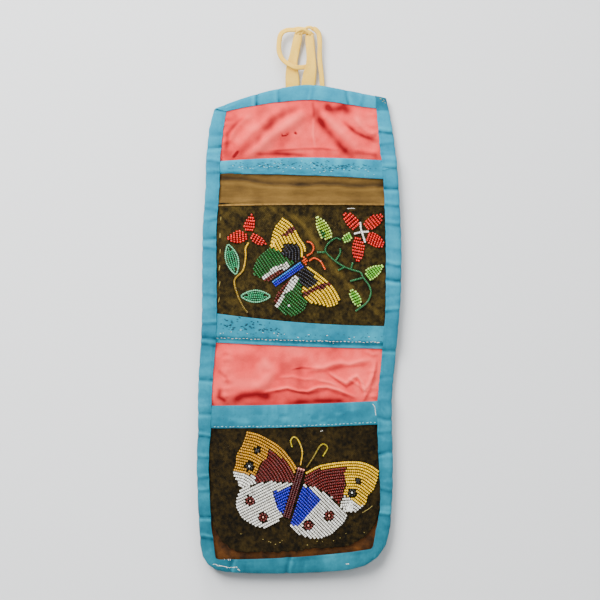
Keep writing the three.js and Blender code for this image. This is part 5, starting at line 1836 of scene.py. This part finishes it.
@dataclass
class Hanger:
    """Cotton tape: two sewn legs, a knot, and two loose tails."""

    materials: Materials
    leg_width: float = 8.8
    leg_waist: float = 5.6
    tail_width: float = 3.0
    tail_thick: float = 1.2
    leg_top: float = -4.3
    peak: float = -34.0
    sewn: float = 18.0

    LEFT_TAIL = ((-2.6, 2.4, -0.2), (-7.9, 2.6, -0.5), (-11.6, 2.6, -3.1), (-12.8, 2.6, -9.1),
                 (-12.5, 2.8, -14.4), (-10.3, 3.4, -18.9), (-6.5, 3.8, -21.9), (-2.9, 3.4, -23.4),
                 (0.7, 2.0, -23.5), (4.2, 0.8, -22.9), (8.0, 0.7, -21.8))
    RIGHT_TAIL = ((8.6, 2.2, 0.6), (10.4, 2.2, -0.3), (12.1, 2.0, -3.1), (12.6, 2.0, -9.3),
                  (12.5, 1.9, -14.9), (12.8, 1.7, -21.1), (13.6, 1.0, -27.5), (14.0, 0.3, -33.0),
                  (14.2, 0.2, -38.0))

    def build(self) -> None:
        """Builds the tails, the legs and the knot."""
        self.tail("hanger_left_tail", self.LEFT_TAIL, 61)
        self.tail("hanger_right_tail", self.RIGHT_TAIL, 62)
        self.leg("hanger_left_leg", -4.3, -4.6, 1.4, -3.2, -0.6)
        self.leg("hanger_right_leg", 5.4, 7.1, 2.6, 7.0, 6.1)
        self.knot()

    def ribbon(self, name: str, route: Array, half: Array, thick: Array,
               curl: Array, roll: Array) -> Piece:
        """Sweeps a flat tape along a route.

        Args:
            name: Name of the piece.
            route: x, y and z of its middle.
            half: Half its width at each place.
            thick: Its thickness at each place.
            curl: How far its middle stands out from its edges.
            roll: How far it is turned about its route, in radians.

        Returns:
            The tape's object.
        """
        ways = np.gradient(route, axis=0)
        ways /= np.linalg.norm(ways, axis=1)[:, None]
        forward = np.array([0.0, -1.0, 0.0])
        wide = np.cross(ways, forward)
        wide /= np.linalg.norm(wide, axis=1)[:, None]
        out = np.cross(wide, ways)
        cos, sin = np.cos(roll)[:, None], np.sin(roll)[:, None]
        side, normal = wide * cos + out * sin, out * cos - wide * sin
        shares = np.linspace(-1, 1, 9)
        front, back = [], []
        for share in shares:
            crown = curl * (1 - share ** 2)
            lip = 0.5 * thick * np.sqrt(max(0.04, 1 - abs(share) ** 6))
            middle = route + side * (half * share)[:, None] + normal * crown[:, None]
            front.append(middle + normal * lip[:, None])
            back.append(middle - normal * lip[:, None])
        rings = np.stack([*front, *reversed(back)], 1)
        spread = np.concatenate([np.abs(shares), np.abs(shares[::-1])])
        random = np.random.default_rng(len(name))
        # Painted shade on the tape's edges, with a little random tone.
        return swept_piece(name, rings, 0.25 * spread ** 6 + random.uniform(-0.06, 0.06, rings.shape[:2]))

    def leg(self, node: str, foot: float, knee: float, knee_depth: float, waist: float, top: float) -> None:
        """Builds one sewn leg, gathered towards the knot.

        Args:
            node: The CAD node.
            foot: x where it is sewn on.
            knee: x below the knot.
            knee_depth: How far it stands forward there.
            waist: x where it is gathered.
            top: x at the knot.
        """
        drop = self.peak - self.leg_top
        below = lambda share: self.leg_top + drop * share
        points = np.array([(foot, -0.2, self.peak - self.sewn), (foot, -0.2, below(1.05)),
                           (knee, -knee_depth, below(0.62)), (waist, -knee_depth, below(0.36)),
                           (top, -2.0, self.leg_top + 1.2)])
        route = smooth_route(points, 1.2)
        share = np.linspace(0, 1, len(route))
        half = (self.leg_width + (self.leg_waist - self.leg_width) * smooth_rise(share, 0.4, 0.75)) / 2
        half *= 1 - 0.12 * smooth_rise(share, 0.93, 1.0)
        free = smooth_rise(share, 0.42, 0.6)
        curl = free * 0.45 * np.sin(share * 9.0 + foot) * np.sign(knee)
        roll = free * 0.12 * np.sin(share * 7)
        piece = self.ribbon(node + "_tape", route, half, np.full(len(route), 0.5), curl, roll)
        self.materials.dress(piece, ClothKind.HANGER, node)

    def tail(self, node: str, points: Sequence[tuple[float, float, float]], seed: int) -> None:
        """Builds one loose tail of folded tape.

        Args:
            node: The CAD node.
            points: x, depth and z along its middle.
            seed: Which unevenness it has.
        """
        route = smooth_route(np.array([(x, -depth, z) for x, depth, z in points]), 0.9)
        share = np.linspace(0, 1, len(route))
        thick = self.tail_thick + (0.4 - self.tail_thick) * smooth_rise(share, 0.85, 0.97)
        uneven = 1 + 0.05 * mottle(share * 40, share * 0, 3.0, seed)
        half = np.full(len(route), self.tail_width / 2) * uneven
        roll = 0.25 * np.sin(share * 6 + seed)
        piece = self.ribbon(node + "_tape", route, half, thick, np.zeros(len(route)), roll)
        self.materials.dress(piece, ClothKind.HANGER, node)

    def knot(self) -> None:
        """Builds the knot from three wraps of gathered tape."""
        wraps = [
            ([(-2.6, -2.0, -1.6), (-0.6, -3.6, -0.6), (2.0, -4.1, -0.2), (4.6, -3.4, -1.4),
              (7.0, -1.6, -3.2)], 1.5, 0.5),
            ([(8.4, -2.2, 0.4), (6.2, -2.9, 1.3), (3.8, -3.4, 0.5), (1.8, -3.0, -1.6), (0.2, -1.4, -3.4)],
             1.4, -0.4),
            ([(-2.8, -2.6, 0.0), (-0.4, -2.2, 0.7), (2.4, -1.4, 0.6), (4.4, -1.2, -1.2), (5.8, -1.6, -3.6)],
             1.6, 0.3),
            ([(-1.6, -1.4, -3.8), (-0.9, -2.4, -2.2), (0.9, -2.6, -1.0), (3.2, -1.6, -0.6)], 2.2, 0.2),
            ([(7.4, -1.4, -3.9), (6.6, -2.6, -2.4), (4.8, -2.8, -1.4), (2.6, -2.0, -1.0)], 2.2, -0.2),
        ]
        pieces = []
        for i, (points, half, roll) in enumerate(wraps):
            route = smooth_route(np.array(points), 0.5)
            share = np.linspace(0, 1, len(route))
            width = half * (1 - 0.35 * np.sin(share * math.pi))
            pieces.append(self.ribbon(f"hanger_knot_wrap_{i}", route, width, np.full(len(route), 1.0),
                                      0.35 * np.sin(share * math.pi), np.full(len(route), roll)))
        joined = join_pieces("hanger_knot_tape", pieces)
        self.materials.dress(joined, ClothKind.HANGER, "hanger_knot")


def join_pieces(name: str, pieces: Sequence[Piece]) -> Piece:
    """Joins several meshes into one piece.

    Args:
        name: Name of the joined piece.
        pieces: The meshes, which are used up.

    Returns:
        The joined object.
    """
    points, faces, shades = [], [], []
    for piece in pieces:
        start = len(points)
        points += [tuple(v.co) for v in piece.data.vertices]
        faces += [tuple(i + start for i in p.vertices) for p in piece.data.polygons]
        shades += [value.value for value in piece.data.attributes["fold"].data]
        bpy.data.objects.remove(piece)
    joined = mesh_piece(name, np.array(points), faces)
    point_value(joined, "fold", np.array(shades))
    return joined


@dataclass(frozen=True)
class StitchRow:
    """A row of stitches along a path on a piece of cloth."""

    name: str
    ground: str
    tint: ThreadTint
    path: Sequence[Point]
    gap: float
    length: float
    width: float
    keep: float = 1.0
    wander: float = 0.15
    across: bool = False


class Needlework:
    """Sewing threads: running stitches, whip stitches and loose ends."""

    def __init__(self, materials: Materials) -> None:
        """Builds the stitch tree."""
        self.materials = materials
        self.tree = ThreadedTree("stitches on cloth", stitch_part)

    def row(self, row: StitchRow, seed: int) -> None:
        """Sews one row.

        Args:
            row: Where it runs and how it looks.
            seed: Which set of small errors it has.
        """
        random = np.random.default_rng(seed)
        route = smooth_route(np.array([(x, 0.0, z) for x, z in row.path]), row.gap)
        ways = np.gradient(route, axis=0)
        if row.across:
            ways = np.column_stack([-ways[:, 2], ways[:, 1], ways[:, 0]])
        keep = random.uniform(size=len(route)) < row.keep
        route, ways = route[keep], ways[keep]
        ways = ways + random.normal(0, 0.12 * np.linalg.norm(ways, axis=1)[:, None], ways.shape) * [1, 0, 1]
        places = route + random.normal(0, row.wander, route.shape) * [1, 0, 1]
        places[:, 1] = IN_FRONT
        tint = np.array([linear(row.tint.value)] * len(places))
        piece = tinted_points(row.name, places * MM, ways, tint)
        ground = bpy.data.objects[row.ground]
        self.tree.run(piece, ground, Width=row.width * MM, Length=row.length * MM,
                      Sink=-row.width * MM * 0.1, Unevenness=0.3, Tilt=0.12, Seed=seed,
                      Material=self.materials.thread)
        finish_piece(piece, self.materials.thread, "hanger_tape")

    def build(self) -> None:
        """Sews every row that the photograph shows."""
        seam, mouth, upper = "seam_tape", "strip_lower_mouth_binding", "strip_upper_mouth_binding"
        side, worn, tint = "strip_edge_binding", "lower_velvet", ThreadTint
        rows = (
            StitchRow("seam_running_stitch", seam, tint.WHITE,
                      ((-51, -191.5), (-20, -192.5), (0, -193.2), (49, -194.2)), 2.3, 1.5, 0.36),
            StitchRow("seam_needle_marks", seam, tint.DARK,
                      ((-49, -186), (0, -190), (49, -191)), 1.2, 1, 0.3, 0.6, 1.8),
            StitchRow("seam_blotches", seam, tint.DARK,
                      ((-48, -183), (-30, -184), (-12, -187)), 0.5, 1.4, 0.6, 0.7, 1.8),
            StitchRow("seam_lint", seam, tint.WHITE,
                      ((-49, -187), (0, -190.5), (49, -191.5)), 3.2, 0.9, 0.25, 0.5, 1.8),
            StitchRow("upper_mouth_marks", upper, tint.DARK,
                      ((-44, -85.2), (0, -85), (46, -86.5)), 0.62, 1.3, 0.3, 0.66, 1.25),
            StitchRow("upper_mouth_knots", upper, tint.DARK,
                      ((-24, -85.8), (-14, -86.2), (-11, -85.4)), 0.4, 1.5, 0.36, 0.8, 1),
            StitchRow("upper_mouth_dashes", upper, tint.DARK,
                      ((8, -85.8), (18, -86.8), (36, -85.8)), 0.5, 1.5, 0.36, 0.7, 1.1),
            StitchRow("upper_mouth_lint", upper, tint.PALE_BLUE,
                      ((-40, -86), (0, -86.4), (46, -88)), 1, 1.1, 0.3, 0.5, 1.5),
            StitchRow("lower_mouth_stitch", mouth, tint.PALE_BLUE,
                      ((-52.5, -246.4), (0, -244.9), (46.5, -243.7)), 2.4, 1.4, 0.34, 1, 0.12),
            StitchRow("lower_mouth_marks", mouth, tint.DARK,
                      ((-50, -239.5), (0, -238.5), (44, -237.5)), 2, 1, 0.26, 0.3, 1.6),
            StitchRow("corner_whip_stitch", side, tint.WHITE,
                      ((-47, -328.6), (-44.5, -328.6), (-41.8, -328.2)), 0.7, 1.1, 0.26, 1, 0.3, True),
            StitchRow("corner_loose_thread", side, tint.WHITE,
                      ((-52.9, -331.6), (-49, -332.3), (-45, -333.1),
                       (-41, -333.4), (-38.7, -333.5), (-37.5, -335.1)), 0.7, 1.3, 0.22, 1, 0.22),
            StitchRow("square_end_stitch", side, tint.DARK,
                      ((49.6, -42.8), (53.2, -44.2)), 0.7, 1.2, 0.3, 0.8, 0.5),
            StitchRow("square_end_thread", side, tint.GOLD,
                      ((50, -43.4), (53.4, -45.4)), 1, 0.9, 0.26, 0.8, 0.6),
            StitchRow("side_speck", side, tint.WHITE, ((29, -331), (30.5, -331.3)), 1, 0.9, 0.35),
            StitchRow("velvet_side_stitch", "upper_velvet", tint.OLD,
                      ((-48.9, -118), (-49.4, -145), (-49.6, -168)), 10.5, 3.4, 0.45, 1, 0.2),
            StitchRow("velvet_top_stitch", "upper_velvet", tint.WHITE,
                      ((30, -111.6), (33, -111.6)), 1.6, 2.4, 0.4, 1, 0.05),
            StitchRow("velvet_lint", worn, tint.WHITE,
                      ((12.9, -248.5), (14, -248.5)), 1.2, 1, 0.4),
            StitchRow("velvet_specks", worn, tint.OLD,
                      ((-40, -312), (-20, -318), (10, -319), (38, -312)), 3.4, 0.6, 0.4, 0.6, 2.2),
            StitchRow("velvet_loose_thread", worn, tint.OLD,
                      ((39.4, -299.3), (41.9, -297.9), (44.6, -295.9)), 0.9, 1.4, 0.24, 1, 0.05),
            StitchRow("mouth_thread_tail", mouth, tint.WHITE,
                      ((45.6, -232.6), (46.6, -234.4), (47.2, -238.7)), 0.9, 1.4, 0.28, 1, 0.08),
        )
        for seed, row in enumerate(rows, 70):
            self.row(row, seed)


YELLOW, AMBER, OCHRE = (255, 204, 0), (255, 200, 0), (206, 144, 0)
GREEN, WHITE, DARK_RED = (0, 96, 26), (255, 252, 240), (96, 4, 8)
BLUE, NAVY, RED = (12, 0, 192), (4, 3, 24), (228, 8, 4)
BUD, MINT, STEM = (104, 190, 44), (40, 150, 96), (0, 84, 36)
ORANGE, MAROON, OLIVE = (230, 76, 4), (76, 2, 4), (190, 170, 6)
PALE_BUD, PALE_MINT, SKY, PEARL = (184, 236, 104), (112, 200, 150), (24, 120, 214), (240, 150, 130)
LEMON_BUD, PALE_LEMON, BRICK, BLACK = (160, 200, 40), (210, 232, 110), (104, 6, 0), (2, 2, 2)
TWIG, OLD_GOLD, DRY = (40, 110, 60), (236, 180, 20), (110, 88, 10)

LEFT_UPPER_EDGE = ((-34.0, 12.0), (-20.0, 0.2), (-10.1, -7.7), (-6.8, -9.8), (-3.9, -12.5), (-1.8, -15.9),
                   (0.3, -20.1), (2.8, -23.6), (3.9, -26.0), (4.3, -29.0), (4.3, -34.0), (4.3, -60.0))
RIGHT_UPPER_EDGE = ((-24.0, -25.0), (-6.0, -32.6), (4.3, -37.3), (7.0, -38.9), (11.2, -41.9), (15.4, -45.2),
                    (19.6, -49.0), (22.1, -52.3), (24.2, -56.1), (26.0, -60.6), (30.0, -76.0))
LEFT_LOWER_EDGE = ((-62.0, 4.2), (-38.0, -1.4), (-32.6, -2.6), (-28.3, -3.4), (-24.0, -4.7), (-18.4, -7.5),
                   (-13.5, -10.5), (-9.8, -13.6), (-6.7, -17.2), (-3.6, -21.4), (0.0, -28.0), (10.0, -50.0))
RIGHT_LOWER_EDGE = ((-16.0, -38.0), (4.4, -27.1), (8.1, -25.0), (12.4, -23.2), (17.4, -22.2), (23.5, -21.5),
                    (29.7, -21.1), (35.9, -21.3), (40.2, -22.2), (44.5, -24.0), (48.2, -26.5), (56.0, -33.0),
                    (68.0, -45.0))


@dataclass
class UpperBeads:
    """Butterfly, flower and spray on the upper velvet."""

    work: Beadwork

    def build(self) -> None:
        """Works the butterfly first, then the plants."""
        for bead_field in self.butterfly() + self.flowers() + self.buds():
            self.work.fill(bead_field)
        self.strands()
        self.work.leaf("left_flower_high_leaf", (-44.2, -24.2), (-39.2, -43.0), 8.6, PALE_MINT, MINT)
        self.work.leaf("left_flower_low_leaf", (-36.2, -56.6), (-18.0, -56.6), 8.2, PALE_MINT, MINT)

    def butterfly(self) -> list[BeadField]:
        """The butterfly's fields."""
        left, right = Lanes(pitch=1.9, guide=LEFT_UPPER_EDGE), Lanes(pitch=1.95, guide=RIGHT_UPPER_EDGE)
        left_hind, right_hind = Lanes(-56, 1.68, through=(-20, -50)), Lanes(-42, 1.76, through=(0, -60))
        body = Lanes(35, 1.42, through=(-8.6, -41.3))
        left_bar = Mark(DARK_RED, (-8.6, -18.4), (-2.6, -13.8), 1.5)
        right_bar = Mark(DARK_RED, (3.2, -55.4), (21.0, -47.3), 1.3)
        left_spots = (Mark(WHITE, (-16.2, -41.5), (-8.0, -37.6), 2.2),)
        right_spots = (Mark(WHITE, (-6.9, -62.9), None, 0.95),
                       Mark(WHITE, (-6.5, -52.0), (-2.6, -45.2), 2.0))
        fields = [
            BeadField("upper_butterfly_body", "blue_beads", BLUE, body,
                      (Mark(SKY, (-16.7, -47.6), (1.1, -35.4), 1.1),)),
            BeadField("upper_butterfly_head", "dark_red_beads", ORANGE, body),
        ]
        for side, fore, hind, bar, spots in (("left", left, left_hind, left_bar, left_spots),
                                             ("right", right, right_hind, right_bar, right_spots)):
            wing = f"upper_{side}_"
            fields += [
                BeadField(wing + "forewing_yellow", "yellow_beads", YELLOW, fore, (bar,)),
                BeadField(wing + "forewing_black", "black_beads", NAVY, fore),
                BeadField(wing + "hindwing_green", "green_beads", GREEN, hind, spots),
                BeadField(wing + "hindwing_white", "white_beads", WHITE, hind),
                BeadField(wing + "hindwing_red", "dark_red_beads", BRICK, hind),
            ]
        return fields

    @staticmethod
    def flowers() -> list[BeadField]:
        """Petals of both flowers, each with the angle and the pitch of its lanes."""
        petals = (("left_flower_top", -6, 1.9), ("left_flower_left", -86, 1.9),
                  ("left_flower_right", 58, 1.85), ("right_flower_upper_left", 42, 1.85),
                  ("right_flower_upper_right", -50, 1.85), ("right_flower_right", 69, 1.75),
                  ("right_flower_lower", -12, 1.85))
        return [BeadField(name + "_petal", "red_beads", RED, Lanes(angle, pitch))
                for name, angle, pitch in petals]

    @staticmethod
    def buds() -> list[BeadField]:
        """Buds of the spray."""
        tip = (Mark(GREEN, (13.6, -17.2), (14.6, -18.6), 1.3),)
        buds = (("top", LEMON_BUD, 24, 1.8, tip, PALE_LEMON), ("small", BUD, -62, 1.6, (), PALE_BUD),
                ("right", BUD, -52, 1.65, (), PALE_BUD), ("low", BUD, 24, 1.7, (), PALE_BUD))
        return [BeadField(f"spray_{name}_bud", "light_green_beads", colour, Lanes(angle, pitch), marks,
                          edge_colour=rim) for name, colour, angle, pitch, marks, rim in buds]

    def strands(self) -> None:
        """The stems, twigs and antennae."""
        run = self.work.along
        run("upper_left_antenna", "orange_beads", ORANGE, ORANGE,
            [[(4.9, -31.2), (7.5, -29.6), (8.7, -26.3), (7.0, -23.4), (4.9, -22.8)]])
        run("upper_right_antenna", "orange_beads", ORANGE, ORANGE,
            [[(6.3, -34.4), (9.0, -32.9), (13.0, -35.0), (15.6, -39.7)]])
        run("left_flower_stem", "yellow_beads", OLD_GOLD, DRY,
            [[(-31.6, -23.6), (-33.3, -27.0), (-33.2, -32.2), (-34.9, -40.4), (-40.1, -46.6), (-38.4, -55.4),
              (-34.9, -62.9), (-32.3, -66.6)]], width=1.2)
        run("right_flower_cross", "white_beads", WHITE, WHITE,
            [[(37.5, -10.9), (37.9, -14.6), (38.8, -17.6), (40.4, -22.6)],
             [(34.1, -17.6), (37.9, -16.7), (42.3, -16.3)]], 1.1, 1.2)
        run("spray_stem", "green_beads", STEM, TWIG,
            [[(24.9, -21.3), (22.2, -20.5), (17.7, -23.8), (15.9, -28.4), (20.1, -33.2), (26.4, -37.6),
              (32.1, -40.0), (37.5, -41.7), (39.4, -45.0), (42.9, -49.8), (44.1, -54.6), (41.7, -60.4),
              (35.0, -65.7)],
             [(15.9, -29.2), (11.2, -29.3)], [(25.1, -27.3), (24.9, -30.1), (22.1, -34.7)],
             [(28.0, -38.4), (24.2, -40.2)], [(31.8, -39.7), (32.7, -36.0)], [(39.4, -45.0), (31.7, -47.1)]],
            1.0, 1.25)


@dataclass
class LowerBeads:
    """Butterfly on the lower velvet."""

    work: Beadwork

    def build(self) -> None:
        """Works the wings, the body and the antennae."""
        for bead_field in self.wings():
            self.work.fill(bead_field)
        run = self.work.along
        run("lower_left_antenna", "olive_beads", OLD_GOLD, OLIVE,
            [[(0.7, -22.9), (1.7, -15.2), (-0.5, -8.5), (-3.2, -6.0), (-5.4, -8.2), (-4.7, -11.8)]],
            0.9, 0.95)
        run("lower_right_antenna", "olive_beads", DRY, OLIVE,
            [[(4.6, -24.2), (8.6, -18.3), (12.3, -12.0), (14.9, -10.5), (17.2, -12.8), (14.6, -17.6)]],
            0.9, 0.95)

    def wings(self) -> list[BeadField]:
        """The wings and the body."""
        left, right = Lanes(pitch=1.74, guide=LEFT_LOWER_EDGE), Lanes(pitch=1.74, guide=RIGHT_LOWER_EDGE)
        left_hind, right_hind = Lanes(27, 1.68, through=(-20, -60)), Lanes(-46, 1.68, through=(30, -50))
        sides = (
            ("left", OCHRE, left, left_hind,
             ((-25.9, -14.5), (-30.9, -24.2), (-30.4, -45.5), (-22.4, -55.5))),
            ("right", AMBER, right, right_hind,
             ((36.1, -33.3), (32.4, -40.6), (5.5, -60.6), (18.3, -54.5))),
        )
        fields = []
        for side, gold, fore, hind, (spot, eye, high_ring, low_ring) in sides:
            spots = (Ring(BLACK, BLACK, spot, 1.0, 4), Ring(BLACK, WHITE, eye, 1.75, 7))
            rings = (Ring(BRICK, PEARL, high_ring), Ring(BRICK, PEARL, low_ring))
            wing = f"lower_{side}_"
            fields += [
                BeadField(wing + "forewing_ochre", "yellow_beads", gold, fore, rings=spots),
                BeadField(wing + "forewing_red", "dark_red_beads", BRICK, fore),
                BeadField(wing + "forewing_white", "white_beads", WHITE, fore),
                BeadField(wing + "hindwing_white", "white_beads", WHITE, hind, rings=rings),
                BeadField(wing + "hindwing_blue", "blue_beads", BLUE, hind),
            ]
        mark = Mark(PEARL, (-0.4, -24.6), (3.6, -25.4), 1.0)
        return fields + [BeadField("lower_butterfly_body", "maroon_beads", MAROON, Lanes(73, 1.85), (mark,))]


@dataclass
class Studio:
    """A pale wall and floor, soft lamps and the camera. Sizes in metres."""

    wall: float = 0.0015
    floor: float = -0.42
    bend: float = 0.1
    half_width: float = 2.5
    height: float = 2.0
    run: float = -3.0
    view_width: float = 0.372
    view_middle: tuple[float, float, float] = (0.0003, -0.004, -0.168)

    def build(self) -> None:
        """Builds the stage, the lights and the camera."""
        self.stage()
        self.lamp("soft_key", (-0.5, -0.72, 0.5), (0.0, 0.0, -0.19), 0.6, 25.0)
        self.lamp("soft_fill", (0.7, -0.75, -0.1), (0.0, 0.0, -0.17), 0.9, 5.0)
        self.lamp("soft_top", (0.0, -0.35, 0.75), (0.0, 0.0, -0.15), 0.5, 8.0)
        self.sky()
        self.camera()

    def stage(self) -> None:
        """Builds the sweep of pale paper behind and below the pouch."""
        profile = [(self.height, self.wall), (self.floor, self.wall)]
        for turn in np.linspace(0, math.pi / 2, 12):
            profile.append((self.floor - self.bend * math.sin(turn),
                            self.wall - self.bend * (1 - math.cos(turn))))
        profile.append((self.floor - self.bend, self.run))
        points = [(x, y, z) for x in (-self.half_width, self.half_width) for z, y in profile]
        size = len(profile)
        faces = [(i, i + 1, size + i + 1, size + i) for i in range(size - 1)]
        mesh = bpy.data.meshes.new("studio_sweep")
        mesh.from_pydata(points, [], faces)
        mesh.shade_smooth()
        sweep = bpy.data.objects.new("studio_sweep", mesh)
        bpy.context.scene.collection.objects.link(sweep)
        material, graph, place = new_material("pale paper")
        noise = graph.add("ShaderNodeTexNoise", Vector=place, Scale=40.0, Detail=3.0).outputs[0]
        graph.surface(Base_Color=linear((206, 207, 208)), Roughness=graph.spread(noise, 0.8, 0.95))
        mesh.materials.append(material)

    @staticmethod
    def lamp(name: str, place: Sequence[float], target: Sequence[float], size: float, power: float) -> None:
        """Hangs one soft square lamp.

        Args:
            name: Its name.
            place: Where it hangs, in metres.
            target: What it faces.
            size: Width of its square.
            power: Watts.
        """
        data = bpy.data.lights.new(name, "AREA")
        data.shape, data.size, data.energy = "SQUARE", size, power
        lamp = bpy.data.objects.new(name, data)
        lamp.location = place
        lamp.rotation_euler = (Vector(target) - Vector(place)).to_track_quat("-Z", "Y").to_euler()
        bpy.context.scene.collection.objects.link(lamp)

    @staticmethod
    def sky() -> None:
        """Fills the room with weak even light."""
        world = bpy.data.worlds.new("studio_room")
        world.use_nodes = True
        background = world.node_tree.nodes["Background"]
        background.inputs["Color"].default_value = (0.95, 0.97, 1.0, 1.0)
        background.inputs["Strength"].default_value = 0.45
        bpy.context.scene.world = world

    def camera(self) -> None:
        """Sets the camera straight in front, as the photograph was taken."""
        data = bpy.data.cameras.new("camera")
        data.lens, data.sensor_width = 85.0, 36.0
        camera = bpy.data.objects.new("camera", data)
        distance = self.view_width * data.lens / data.sensor_width
        x, y, z = self.view_middle
        camera.location = (x, y - distance, z)
        camera.rotation_euler = (math.pi / 2, 0.0, 0.0)
        bpy.context.scene.collection.objects.link(camera)
        bpy.context.scene.camera = camera


def main() -> None:
    """Builds the pouch on its frame, part by part."""
    logging.basicConfig(level=logging.INFO, format="%(name)s: %(message)s")
    Studio().build()
    materials = Materials()
    Hanger(materials).build()
    Backing(materials).build()
    PocketCloth(materials).build()
    Bindings(materials).build()
    tree = ThreadedTree("beads on a surface", bead_part)
    upper = Beadwork(materials, tree, Pattern.UPPER)
    lower = Beadwork(materials, tree, Pattern.LOWER)
    UpperBeads(upper).build()
    LowerBeads(lower).build()
    LOG.info("%d beads", upper.count + lower.count)
    Needlework(materials).build()


if __name__ == "__main__":
    main()
